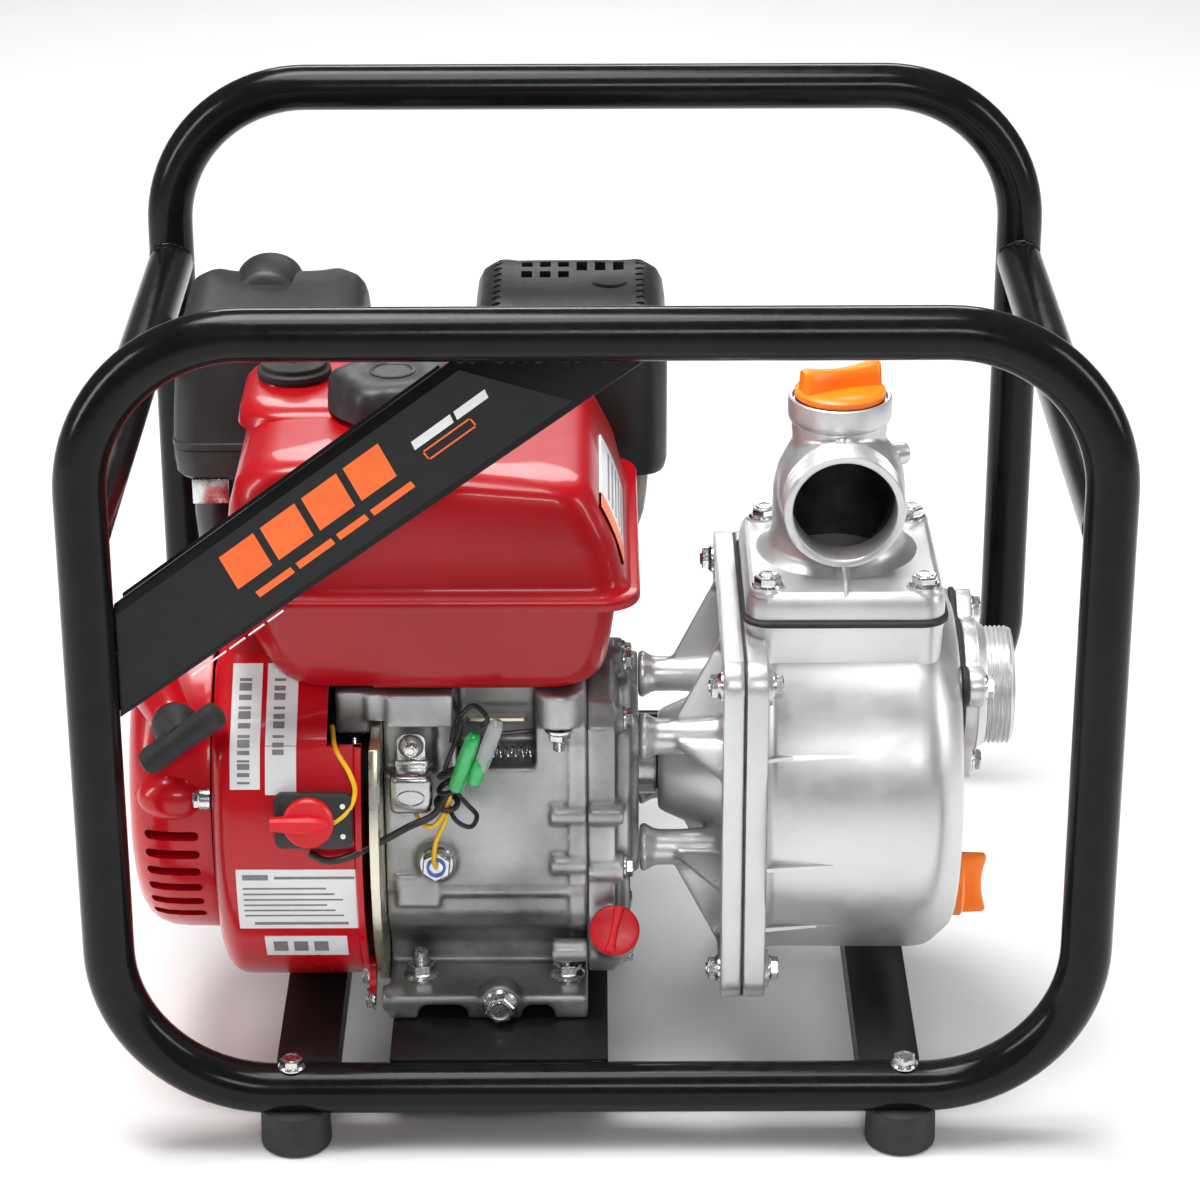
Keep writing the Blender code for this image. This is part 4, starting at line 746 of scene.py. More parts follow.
def skin(z, out=0.0):
    """Y and Z of the shroud's front skin at a height, moved out from it."""
    radius = SHROUD_RADIUS
    start = (CRANK_Y + radius * math.cos(math.radians(SLOPE_START)),
             CRANK_Z + radius * math.sin(math.radians(SLOPE_START)))
    if z <= start[1]:
        rise = (z - CRANK_Z) / radius
        run = math.sqrt(1 - rise * rise)
        return CRANK_Y - (radius + out) * run, CRANK_Z + (radius + out) * rise
    share = (z - start[1]) / (SHROUD_TOP - start[1])
    away = Vector((-(SHROUD_TOP - start[1]), CRANK_Y - 0.055 - start[0])).normalized() * out
    return start[0] + share * (CRANK_Y - 0.055 - start[0]) + away.x, z + away.y


def skin_patch(x0, x1, low, high, out=0.0003, steps=12):
    """A label or printed bar that follows the shroud's skin."""
    rings = []
    for n in range(steps + 1):
        z = low + (high - low) * n / steps
        outer, inner = skin(z, out), skin(z, -0.0006)
        rings.append([(x0, *inner), (x1, *inner), (x1, *outer), (x0, *outer)])
    return loft(rings)


def shroud_pieces():
    """The fan housing with its turned rim, its two screw tabs and its labels."""
    wall, fillet = 0.0022, 0.012
    rows = [(SHROUD_RIGHT - 0.0036, 0.0), (SHROUD_RIGHT - 0.007, 0.0)]
    rows += [(SHROUD_LEFT + fillet * (1 - math.sin(math.radians(15 * n))),
              fillet * (1 - math.cos(math.radians(15 * n)))) for n in range(7)]
    outer, inner = [], []
    for x, inset in rows:
        outer.append([(x, y, z) for y, z in shroud_outline(inset, DUCT_END)])
        inner.append([(x + (wall if inset else 0), y, z)
                      for y, z in shroud_outline(inset + wall, DUCT_END)])
    mouth = []
    for x, radius in ((SHROUD_LEFT, 0.079), (SHROUD_LEFT - 0.0008, 0.0775), (SHROUD_LEFT, 0.076),
                      (SHROUD_LEFT + 0.004, 0.0757), (SHROUD_LEFT + 0.005, 0.0775)):
        ring = []
        for _, y, z in outer[0]:
            away = Vector((y - CRANK_Y, z - CRANK_Z)).normalized() * radius
            ring.append((x, CRANK_Y + away.x, CRANK_Z + away.y))
        mouth.append(ring)
    notch = block((-0.1305, -0.2, 0.2045), (-0.1, -0.104, 0.23))
    body = carve(loft([*outer, *mouth, *reversed(inner)], closed=True, sharp=50), notch)
    rim = loft([[(x, y, z) for y, z in shroud_outline(inset, DUCT_END)]
                for x, inset in ((SHROUD_RIGHT - 0.0035, 0.002), (SHROUD_RIGHT - 0.0035, -0.0022),
                                 (SHROUD_RIGHT - 0.0064, -0.0022), (SHROUD_RIGHT - 0.0074, 0.0))])
    rim = carve(rim, notch, prism(shroud_outline(0.003, DUCT_END), "X", -0.2, -0.1))
    tabs, screws = [], []
    for angle in (227, 300):
        y = CRANK_Y + 0.112 * math.cos(math.radians(angle))
        z = CRANK_Z + 0.112 * math.sin(math.radians(angle))
        tabs.append(rod(0.01, 0, 0.003, (SHROUD_RIGHT - 0.0005, y, z), -X, 32))
        screws.append(bolt((SHROUD_RIGHT - 0.003, y, z), -X, 0.008, 10))
    piece("fan_housing", [(merge(body, rim, *tabs), RED_HOUSING), (merge(*screws), ZINC)],
          slot="red_paint", replaces=["fan_shroud"])

    plates = [
        skin_patch(-0.1755, -0.1148, 0.1085, 0.1455), skin_patch(-0.164, -0.1235, 0.0865, 0.1025),
        skin_patch(-0.177, -0.1625, 0.186, 0.233), skin_patch(-0.16, -0.145, 0.1835, 0.233),
    ]
    bars = [(-0.1725, -0.16, 0.1395, 0.1425), (-0.157, -0.118, 0.14, 0.1415)]
    bars += [(-0.1725, -0.132 + 0.004 * (n % 3), 0.134 - 0.0034 * n, 0.135 - 0.0034 * n) for n in range(6)]
    bars.append((-0.168, -0.122, 0.1112, 0.113))
    bars += [(-0.16 + 0.01 * n, -0.153 + 0.01 * n, 0.0905, 0.0985) for n in range(3)]
    print_on = [skin_patch(*bar, PRINT_OUT) for bar in bars]
    for n in range(13):
        low = 0.1885 + 0.0032 * n
        print_on.append(skin_patch(-0.1735, -0.1675, low, low + 0.001 + 0.0008 * (n * 7 % 3), PRINT_OUT, 2))
        if n > 3:
            print_on.append(skin_patch(-0.1565, -0.151, low, low + 0.0009 + 0.0007 * (n * 5 % 3), PRINT_OUT,
                                       2))
    piece("housing_labels", [(merge(*plates), LABEL), (merge(*print_on), GREY_PRINT)])


def recoil_pieces():
    """The recoil starter: its slotted cover with the rope's spout, the grip and the rope."""
    wall = 0.0022
    outer = [
        (0.084, 0.0), (0.0843, 0.002), (0.084, 0.004), (0.0838, 0.018), (0.083, 0.026), (0.0808, 0.032),
        (0.077, 0.0368), (0.0715, 0.0402), (0.065, 0.042), (0.056, 0.043), (0.053, 0.043),
        (0.0512, 0.042), (0.049, 0.0412), (0.03, 0.0412), (0.0285, 0.0418), (0.027, 0.0428),
        (0.024, 0.0433), (0.0, 0.0435),
    ]
    inner = [(0.0, 0.041), (0.024, 0.0408), (0.05, 0.0388), (0.065, 0.0396), (0.0705, 0.038),
             (0.0755, 0.0348), (0.0788, 0.0304), (0.0808, 0.025), (0.0818, 0.0), (0.084 - wall, 0.0)]
    shell = lathe([*outer, *inner], on_axis(RECOIL_SEAT), -X, 96, sharp=50)
    slots = []
    for n in range(6):
        z = 0.0985 + 0.0105 * n
        capsule = rounded((-0.2225, z - 0.0025), (-0.1955, z + 0.0025), 0.00245, 4)
        slots.append(prism(capsule, "Y", -0.2, -0.118))
        if n < 5:
            slots.append(prism(capsule, "Y", -0.042, 0.03))
    for n in range(10):
        turn = Matrix.Translation(on_axis(0)) @ Matrix.Rotation(math.radians(36 * n + 18), 4, "X")
        window = prism(rounded((-0.003, 0.033), (0.003, 0.047), 0.0028, 4), "X", -0.2345, -0.2275)
        slots.append(placed(window, turn))
    shell = carve(shell, *slots)
    half_turn = [math.radians(9 * n) for n in range(21)]
    bulge = [(0.0122 * math.sin(turn), -0.0175 * math.cos(turn)) for turn in half_turn]
    bulges, screws = [], []
    for angle in (166.5, 286.5, 46.5):
        away = Vector((0, math.cos(math.radians(angle)), math.sin(math.radians(angle))))
        bulges.append(lathe(bulge, on_axis(-0.208) + away * 0.0775, X, 36))
        seat = on_axis(-0.1935) + away * 0.0845
        screws.append(merge(bolt(seat, -X, 0.0075, 15), rod(0.0052, 0.0, 0.0045, seat, X, 24)))
    mouth = ROPE_ROOT + PULL * SPOUT
    spout = pipe([ROPE_ROOT - PULL * 0.016, ROPE_ROOT, ROPE_ROOT + PULL * (SPOUT - 0.002), mouth],
                 [0.015, 0.0125, 0.0104, 0.0096], 32)
    eye = lathe([(0.0046, 0.001), (0.006, 0.0022), (0.0078, 0.001)], mouth, PULL, 28, closed=True)
    disc = rod(0.0205, 0.0, 0.0004, on_axis(-0.2324), -X)
    piece("starter_cover", [(merge(shell, spout, *bulges), RED_HOUSING), (merge(*screws), ZINC),
                            (eye, STEEL), (disc, STICKER)], slot="red_paint", replaces=["recoil_cover"])

    root = ROPE_ROOT + PULL * (SPOUT + 0.0003)
    base = lathe([(0, 0.0022), (0.0098, 0.0022), (0.0112, 0.003), (0.0115, 0.005), (0.0108, 0.009),
                  (0.0092, 0.013), (0.007, 0.017), (0, 0.019)], root, PULL, 40)
    middle = root + PULL * 0.0185
    lean = Vector((0.8, 0.0, 0.6)).normalized()
    half_bar = [(1, 0.001), (0.985, 0.004), (0.93, 0.0062), (0.8, 0.007), (0.5, 0.0068), (0.2, 0.0064)]
    shape = [(-t, radius) for t, radius in half_bar] + [(0.0, 0.0063)] + half_bar[::-1]
    bar = pipe([middle + lean * (0.024 * t) for t, _ in shape], [radius for _, radius in shape], 28)
    piece("starter_grip_bar", [(merge(base, bar), RUBBER)], body="starter_grip", slot="black_rubber",
          replaces=["starter_handle"])

    start, end = ROPE_ROOT - PULL * 0.006, root + PULL * 0.004
    cord = piece("pull_rope", [(pipe([start.lerp(end, n / 60) for n in range(61)], 0.002, 12), ROPE)],
                 body=None, slot="woven", replaces=["starter_rope"])
    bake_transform(cord)


def switch_pieces():
    """The stop switch on the housing's skin: its base and the dial with its tab."""
    seat = on_axis(SWITCH_X) + SWITCH_OUT * (SHROUD_RADIUS + 0.0003)
    place = Matrix((X, SWITCH_OUT.cross(X).normalized(), SWITCH_OUT)).transposed().to_4x4()
    place.translation = seat
    plate = prism(rounded((-0.0165, -0.0138), (0.021, 0.0138), 0.004), "Z", -0.001, 0.0045, 0.001)
    dots = [rod(0.0013, 0.0, 0.0047, (0.0165, y, 0), Z, 20) for y in (0.0075, -0.0075)]
    piece("stop_switch_base", [(placed(plate, place), PLASTIC), (placed(merge(*dots), place), WHITE_PRINT)],
          slot="black_plastic", replaces=["switch_body"])
    top = seat + SWITCH_OUT * 0.0048
    dial = lathe([(0, 0), (0.0122, 0), (0.0125, 0.0006), (0.0122, 0.0036), (0.011, 0.0048), (0, 0.005)],
                 top, SWITCH_OUT)
    tab = loft([
        [(x, side * half, z) for side, z in ((-1, 0.002), (1, 0.002), (1, high), (0.6, high + 0.0012),
                                             (-0.6, high + 0.0012), (-1, high))]
        for x, half, high in ((-0.0186, 0.0022, 0.0052), (-0.018, 0.003, 0.0062), (-0.01, 0.0036, 0.0072),
                              (0.0, 0.004, 0.0078), (0.007, 0.003, 0.0072), (0.0098, 0.0018, 0.0058))
    ])
    place.translation = top
    piece("stop_switch_dial", [(merge(dial, placed(tab, place)), RED_PLASTIC)], body="stop_switch_knob",
          slot="red_plastic", replaces=["switch_knob"])


# ---- engine block --------------------------------------------------------------------
def leaning_block(start, end, half, left, right, rounding=0.0):
    """A block square to the cylinder's axis, between two distances from the crank."""
    outline = [from_crank(start, -half), from_crank(end, -half), from_crank(end, half),
               from_crank(start, half)]
    return prism(outline, "X", left, right, rounding)


def boss(start, end, radius, steps=32):
    """A short round boss, its free end a little smaller."""
    start, end = Vector(start), Vector(end)
    length = (end - start).length
    return lathe([(0, 0), (radius, 0), (radius * 0.97, length - 0.0008), (radius * 0.9, length),
                  (0, length)],
                 start, end - start, steps)


def crankcase_pieces():
    """The crankcase with its barrel and fins, its bolts and the governor's spring."""
    case = [
        (-0.158, BASE_Z), (0.038, BASE_Z), (0.038, 0.057), (0.014, 0.06), (0.008, 0.13), (-0.03, 0.2),
        (-0.06, 0.211), (-0.136, 0.211), (-0.1445, 0.202), (-0.1465, 0.19), (-0.1465, 0.116),
        (-0.145, 0.108), (-0.145, 0.098), (-0.14, 0.088), (-0.13, 0.08), (-0.124, 0.07), (-0.123, 0.0585),
        (-0.158, 0.0565),
    ]
    rim = [(y - (0.0022 if y < -0.08 else -0.0022), z + (0.002 if z > 0.15 else 0)) for y, z in case[4:-2]]
    rim = [(0.014, 0.062), *rim, (-0.126, 0.062)]
    hollows = [((-0.069, -0.165, 0.179), (-0.03, -0.116, 0.23)),
               ((-0.125, -0.165, 0.176), (-0.079, -0.139, 0.204))]
    skirts = [prism(rounded((low, 0.03), (high, BASE_Z + 0.0075), 0.005, 5), "Y", -0.17, 0.05)
              for low, high in ((-0.0905, -0.0655), (-0.038, -0.0215))]
    solid = carve(prism(case, "X", CASE_LEFT, CASE_RIGHT), *[block(*corners) for corners in hollows],
                  *skirts)
    front_blocks = [
        ((-0.1275, -0.148, 0.199), (-0.1105, -0.122, 0.2215)),
        ((-0.112, -0.15, 0.207), (-0.1, -0.11, 0.2215)),
        ((-0.102, -0.152, 0.204), (-0.07, -0.11, 0.2215)),
        ((-0.03, -0.1465, 0.176), (-0.006, -0.118, 0.2215)),
        ((-0.03, -0.144, 0.203), (-0.0068, -0.118, 0.2215)), ((-0.1, -0.149, 0.103), (-0.079, -0.14, 0.12)),
        ((-0.076, -0.1478, 0.1085), (-0.013, -0.14, 0.1125)),
        ((-0.103, -0.1472, 0.147), (-0.101, -0.14, 0.175)),
    ]
    front_bosses = [
        ((-0.0185, -0.144, 0.203), (-0.0185, -0.144, 0.2217), 0.0118),
        ((-0.0797, -0.135, 0.1287), (-0.0797, -0.15, 0.1287), 0.0105),
        ((-0.049, -0.148, 0.0535), (-0.049, -0.1605, 0.0535), 0.0105),
        ((-0.098, -0.15, 0.052), (-0.1085, -0.15, 0.052), 0.007),
    ]
    front_bosses += [((-0.023, CASE_FRONT, z), (CASE_RIGHT, CASE_FRONT, z), 0.0062)
                     for z in (0.1535, 0.1262, 0.076)]
    rear_ribs = [((-0.098 + 0.0003 * n, 0.006, 0.068 + 0.018 * n),
                  (-0.012, 0.0125 - n * 0.0009, 0.068 + 0.018 * n + 0.003)) for n in range(7)]
    made = casting(
        0.0015, 3, solid, prism(rim, "X", CASE_RIGHT - 0.0085, CASE_RIGHT),
        leaning_block(0.05, 0.136, 0.036, CYLINDER_X - 0.038, CYLINDER_X + 0.038),
        *[block(*corners) for corners in front_blocks + rear_ribs], *[boss(*ends) for ends in front_bosses],
    )
    fins = [leaning_block(0.074 + 0.0125 * n, 0.0765 + 0.0125 * n, 0.042, CYLINDER_X - 0.046,
                          CYLINDER_X + 0.046, 0.0006) for n in range(5)]
    hardware = []
    for x in (-0.0893, -0.0155):
        hardware.append(stud_nut((x, -0.1365, 0.0572), Z, 0.0125, 0.015, 8))
        hardware.append(stud_nut((x, 0.028, 0.0568), Z, 0.0125, 0.015, 20))
    for seat in ((-0.1195, -0.135, 0.1992), (-0.0185, -0.15, 0.2032)):
        hardware.append(stud_nut(seat, -Z, 0.01, 0.0125, 14))
    sensor, sensor_out = (-0.0797, -0.15, 0.1287), (0, -1, 0.12)
    hardware += [
        bolt((-0.049, -0.1603, 0.0535), -Y, 0.013, 12), bolt((-0.112, -0.15, 0.052), -X, 0.009, 12),
        bolt(sensor, sensor_out, 0.0135, 25), bolt((-0.06, 0.01, 0.18), (0, 0.55, 0.85), 0.01, 25),
    ]
    ring = lathe([(0.0034, 0.0068), (0.0034, 0.0076), (0.0046, 0.0076), (0.0048, 0.0066)], sensor,
                 sensor_out, 28, closed=True)
    piece("engine_block", [(merge(made, *fins), CAST), (merge(*hardware), ZINC), (ring, BLUE)],
          slot="cast_aluminium", replaces=["crankcase"])

    coil = [(-0.0675 + 0.0366 * n / 140, -0.1375 + 0.0036 * math.cos(2 * math.pi * n / 14),
             0.1835 + 0.0036 * math.sin(2 * math.pi * n / 14)) for n in range(141)]
    link = pipe([(-0.07, -0.13, 0.1835), (-0.05, -0.13, 0.19), (-0.031, -0.126, 0.19)], 0.0012, 10)
    arm = prism(rounded((-0.064, -0.128), (-0.0345, -0.1225), 0.002, 4), "Z", 0.196, 0.1975)
    piece("governor_spring", [(pipe(coil, 0.00055, 8), ZINC), (link, STEEL), (arm, YELLOW_ZINC)])


def cover_pieces():
    """The crankcase's side cover with its screws, its pillars' bosses and the oil filler's neck."""
    outline = [
        (-0.138, 0.06), (-0.004, 0.06), (0.004, 0.07), (0.002, 0.13), (-0.034, 0.198), (-0.062, 0.211),
        (-0.136, 0.211), (-0.146, 0.2), (-0.1465, 0.13), (-0.146, 0.07),
    ]

    def shrunk(share):
        return [(CRANK_Y + (y - CRANK_Y) * share, 0.138 + (z - 0.138) * share) for y, z in outline]

    parts = [prism(outline, "X", CASE_RIGHT + 0.0005, 0.009), prism(shrunk(0.86), "X", 0.004, 0.0165),
             boss(on_axis(0.0), on_axis(COVER_RIGHT), 0.04, 48)]
    parts += [boss((CASE_RIGHT + 0.0005, y, z), (0.0135, y, z), 0.0076) for y, z in COVER_SCREWS]
    parts.append(boss((CASE_RIGHT + 0.0005, CASE_FRONT, 0.1535), (0.013, CASE_FRONT, 0.1535), 0.0062))
    for y, z, _, side_z in four(*PILLAR):
        parts.append(boss((0.0, y, z), (COVER_RIGHT, y, z), 0.0125))
        parts.append(prism([(CRANK_Y, CRANK_Z - 0.003), (y, z - 0.003 * side_z), (y, z + 0.003 * side_z),
                            (CRANK_Y, CRANK_Z + 0.003)], "X", 0.01, 0.0195))
    parts.append(boss(FILLER_SEAT - FILLER_OUT * 0.03, FILLER_SEAT, 0.0118))
    hole = rod(0.0084, -0.02, 0.004, FILLER_SEAT, FILLER_OUT, 36)
    made = carve(casting(0.0014, 3, *parts, keep=0.6), hole)
    screws = [bolt((0.0134, y, z), X, 0.0088, 7 * n) for n, (y, z) in enumerate(COVER_SCREWS)]
    joint = prism(shrunk(0.995), "X", CASE_RIGHT - 0.0002, CASE_RIGHT + 0.0006)
    piece("engine_side_cover", [(made, CAST), (merge(*screws), ZINC), (joint, DARK_JOINT_AND_BORE_SHADE)],
          slot="cast_aluminium", replaces=["crankcase_cover"])


def grip_wing(length, thick, tall, waist=0.55, dip=0.25):
    """A finger grip on +Z: waisted in the middle, with a saddle-shaped top."""
    rings = []
    for n in range(25):
        share = -1 + 2 * n / 24
        end = math.sqrt(max(1 - abs(share) ** 8, 0.02))
        half = thick * (waist + (1 - waist) * share ** 2) * (0.55 + 0.45 * end)
        high = tall * (1 - dip * (1 - share ** 2)) * (0.85 + 0.15 * end)
        ring = [(length * share, side * half * width, z) for side, width, z in (
            (-1, 1.25, -0.0005), (1, 1.25, -0.0005), (1, 1.0, high * 0.5), (1, 0.85, high * 0.9),
            (1, 0.45, high), (-1, 0.45, high), (-1, 0.85, high * 0.9), (-1, 1.0, high * 0.5))]
        rings.append(ring)
    return loft(rings, sharp=60)


def hand_plug(name, node, seat, out, stem, depth, collar, height, wing, look, body, slot, spin):
    """A screw plug with a threaded stem, a round collar and a grip on top."""
    base, pitch = 0.0022, 0.002
    top = base + height
    profile = [
        (0, top + 0.0006), (collar * 0.8, top + 0.0005), (collar * 0.93, top), (collar, top - 0.0012),
        (collar, base + 0.0004), (collar - 0.0004, base), (stem, base),
    ]
    for n in range(int(depth / pitch)):
        profile += [(stem, -pitch * n), (stem - 0.0007, -pitch * n - 0.001)]
    profile += [(stem - 0.001, -depth), (0, -depth)]
    plug = lathe(profile, seat, out, 56)
    grip = placed(grip_wing(*wing), facing(out, Vector(seat) + Vector(out).normalized() * top, spin))
    piece(name, [(merge(plug, grip), look)], body=body, slot=slot, replaces=[node])


def lead(name, route, radius, look, **facts):
    """A free wire along a route through these points; its length is summed but not used."""
    path = smooth_path(route)
    made = piece(name, [(pipe(path, radius, 16), look)], **facts)
    length = sum((after - before).length for before, after in zip(path, path[1:]))
    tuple(path[0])
    return made


# Each wire's radius, finish and route.
LEADS = {
    "stop_lead": (0.0018, BLACK_WIRE, [
        (-0.139, -0.1895, 0.155), (-0.13, -0.1925, 0.1525), (-0.118, -0.1905, 0.1545),
        (-0.104, -0.18, 0.157), (-0.092, -0.1695, 0.159), (-0.08, -0.1645, 0.163),
        (-0.0735, -0.16, 0.172)]),
    "earth_lead": (0.0012, BLACK_WIRE, [
        (-0.069, -0.156, 0.174), (-0.074, -0.16, 0.184), (-0.0705, -0.16, 0.196),
        (-0.066, -0.155, 0.207), (-0.07, -0.148, 0.216), (-0.072, -0.142, 0.2215)]),
    "spare_lead": (0.0012, BLACK_WIRE, [
        (-0.0735, -0.158, 0.166), (-0.069, -0.165, 0.16), (-0.062, -0.164, 0.156),
        (-0.059, -0.16, 0.16), (-0.064, -0.157, 0.165), (-0.07, -0.156, 0.172)]),
    "connector_lead": (0.0012, BLACK_WIRE, [
        (-0.056, -0.16, 0.209), (-0.053, -0.162, 0.214), (-0.06, -0.156, 0.218),
        (-0.068, -0.152, 0.208), (-0.071, -0.156, 0.198)]),
    "switch_lead": (0.0012, YELLOW_WIRE, [
        (-0.129, -0.152, 0.205), (-0.126, -0.174, 0.2035), (-0.119, -0.183, 0.195),
        (-0.1165, -0.186, 0.186), (-0.1205, -0.189, 0.177), (-0.13, -0.1905, 0.17),
        (-0.137, -0.1905, 0.167)]),
    "sensor_lead": (0.0012, YELLOW_WIRE, [
        (-0.0797, -0.1575, 0.13), (-0.0805, -0.162, 0.137), (-0.079, -0.163, 0.148),
        (-0.0745, -0.161, 0.158), (-0.0725, -0.159, 0.168)]),
    "module_lead": (0.0012, YELLOW_WIRE, [
        (-0.09, -0.156, 0.161), (-0.086, -0.162, 0.157), (-0.08, -0.1645, 0.157),
        (-0.075, -0.162, 0.163), (-0.071, -0.159, 0.174)]),
}


def sleeve(start, end, radius):
    """An insulating sleeve over a connector, swollen in its middle."""
    start, end = Vector(start), Vector(end)
    shape = [(0.0, 0.55), (0.04, 0.9), (0.12, 1.0), (0.3, 1.0), (0.55, 1.04), (0.75, 1.0), (0.88, 0.95),
             (0.96, 0.8), (1.0, 0.5)]
    return pipe([start.lerp(end, share) for share, _ in shape], [radius * size for _, size in shape], 20)


def wiring():
    """The oil module and the wires that meet in a bundle in front of the crankcase."""
    module = block((-0.1015, -0.163, 0.1615), (-0.0805, -0.148, 0.1825), 0.0035, 4)
    tab = prism(rounded((-0.098, 0.176), (-0.084, 0.1995), 0.0045, 5), "Y", -0.1492, -0.1474, 0.0003)
    strap = block((-0.0995, -0.152, 0.179), (-0.0825, -0.1474, 0.186), 0.0012, 3)
    dome = lathe([(0.0062, 0.0), (0.0062, 0.0012), (0.0052, 0.0032), (0.003, 0.0046), (0, 0.005)],
                 (-0.091, -0.1492, 0.193), -Y, 32)
    mark = pipe([(-0.091 + 0.0066 * c, -0.1631, 0.1712 + 0.004 * s) for c, s in circle(48)], 0.00035, 8,
                closed=True)
    piece("oil_module", [(merge(module, mark), STEEL), (merge(tab, strap), ZINC), (dome, CAST_PALE),
                         (bolt((-0.091, -0.153, 0.193), -Y, 0.0058, 20), ZINC)],
          slot="zinc_plate", replaces=["oil_alert_module"])
    for name, (radius, look, route) in LEADS.items():
        lead(name, route, radius, look)

    wraps = []
    for n, (x, z) in enumerate(((-0.0735, 0.167), (-0.072, 0.1755), (-0.0715, 0.1835))):
        turns = [2 * math.pi * k / 28 for k in range(28)]
        loop = [(x + 0.0052 * math.cos(turn), -0.1595 + 0.0042 * math.sin(turn),
                 z + 0.0022 * math.sin(turn + n))
                for turn in turns]
        wraps.append(pipe(loop, 0.0015, 12, closed=True))
    green = [sleeve((-0.0695, -0.164, 0.1755), (-0.059, -0.164, 0.207), 0.004),
             sleeve((-0.06, -0.1655, 0.18), (-0.0562, -0.1655, 0.193), 0.0035)]
    clear = sleeve((-0.0575, -0.165, 0.186), (-0.0478, -0.164, 0.214), 0.0038)
    contact = pipe([(-0.0655, -0.164, 0.1865), (-0.06, -0.164, 0.2025)], 0.002, 12)
    piece("harness", [(merge(*wraps), BLACK_WIRE), (merge(*green), GREEN_CLEAR), (clear, CLEAR),
                      (contact, YELLOW_ZINC)])


# ---- pump --------------------------------------------------------------------------------
def pump_outline(inset=0.0, steps=8):
    """The square flange between bracket and casing."""
    half = FLANGE_HALF - inset
    return rounded((CRANK_Y - half, CRANK_Z - half), (CRANK_Y + half, CRANK_Z + half),
                   FLANGE_CORNER - inset, steps)


def adapter_piece():
    """The bracket between engine and pump: a shaft hub, four pillars, their webs and a square ring."""
    parts = [lathe([(0, 0.031), (0.0245, 0.031), (0.0265, 0.0335), (0.04, 0.064), (0.043, 0.066),
                    (0, 0.066)],
                   on_axis(0), X, 56)]
    for y, z, side_y, side_z in four(*PILLAR):
        parts.append(lathe([(0, 0.0213), (0.012, 0.0213), (0.0122, 0.024), (0.0092, 0.029), (0.009, 0.042),
                            (0.0104, 0.06), (0.013, 0.064), (0, 0.064)], (0, y, z), X, 36))
        corner_y, corner_z = CRANK_Y + side_y * 0.083, CRANK_Z + side_z * 0.083
        for tip_y, tip_z in ((corner_y, z), (y, corner_z)):
            flat = Vector((0, tip_y - y, tip_z - z)).normalized()
            wide = X.cross(flat) * 0.002
            near, far = Vector((0, y, z)), Vector((0, tip_y, tip_z))
            web = [near + X * 0.034, near + X * 0.064, far + X * 0.064, far + X * 0.06]
            parts.append(loft([[corner - wide for corner in web], [corner + wide for corner in web]]))
    ring = carve(prism(pump_outline(), "X", 0.061, FLANGE_LEFT - 0.0004),
                 prism(pump_outline(0.013), "X", 0.05, 0.066))
    made = carve(casting(0.0015, 3, *parts, ring, keep=0.6), rod(0.015, 0.02, 0.09, on_axis(0), X, 40))
    screws = [stud_nut((0.0612, y, z), -X, 0.01, 0.008, 9) for y, z, _, _ in four(*FLANGE_SCREW)]
    seal = lathe([(0.0102, 0.03), (0.015, 0.03), (0.015, 0.034), (0.0102, 0.034)], on_axis(0), X, 40,
                 closed=True)
    piece("pump_bracket", [(made, SILVER), (merge(*screws), ZINC), (seal, RUBBER)], slot="silver_paint",
          replaces=["pump_adapter"])


def lobed(points=120, grow=0.0, core=0.0335, lobe=0.0095):
    """The suction flange's outline: a round with an ear for each of its screws."""
    outline = []
    for n in range(points):
        direction = Vector((math.cos(2 * math.pi * n / points), math.sin(2 * math.pi * n / points)))
        reach = core + grow
        for ear in SUCTION_LOBES:
            along = direction.dot(Vector(ear))
            off = Vector(ear).length_squared - along ** 2
            size = lobe + grow
            if along > 0 and off < size ** 2:
                reach = max(reach, along + math.sqrt(size ** 2 - off))
            elif along > 0:
                neck = along * math.exp(-(math.sqrt(off) - size) / 0.01)
                reach = max(reach, neck)
        outline.append((CRANK_Y + direction.x * reach, SUCTION_Z + direction.y * reach))
    return outline


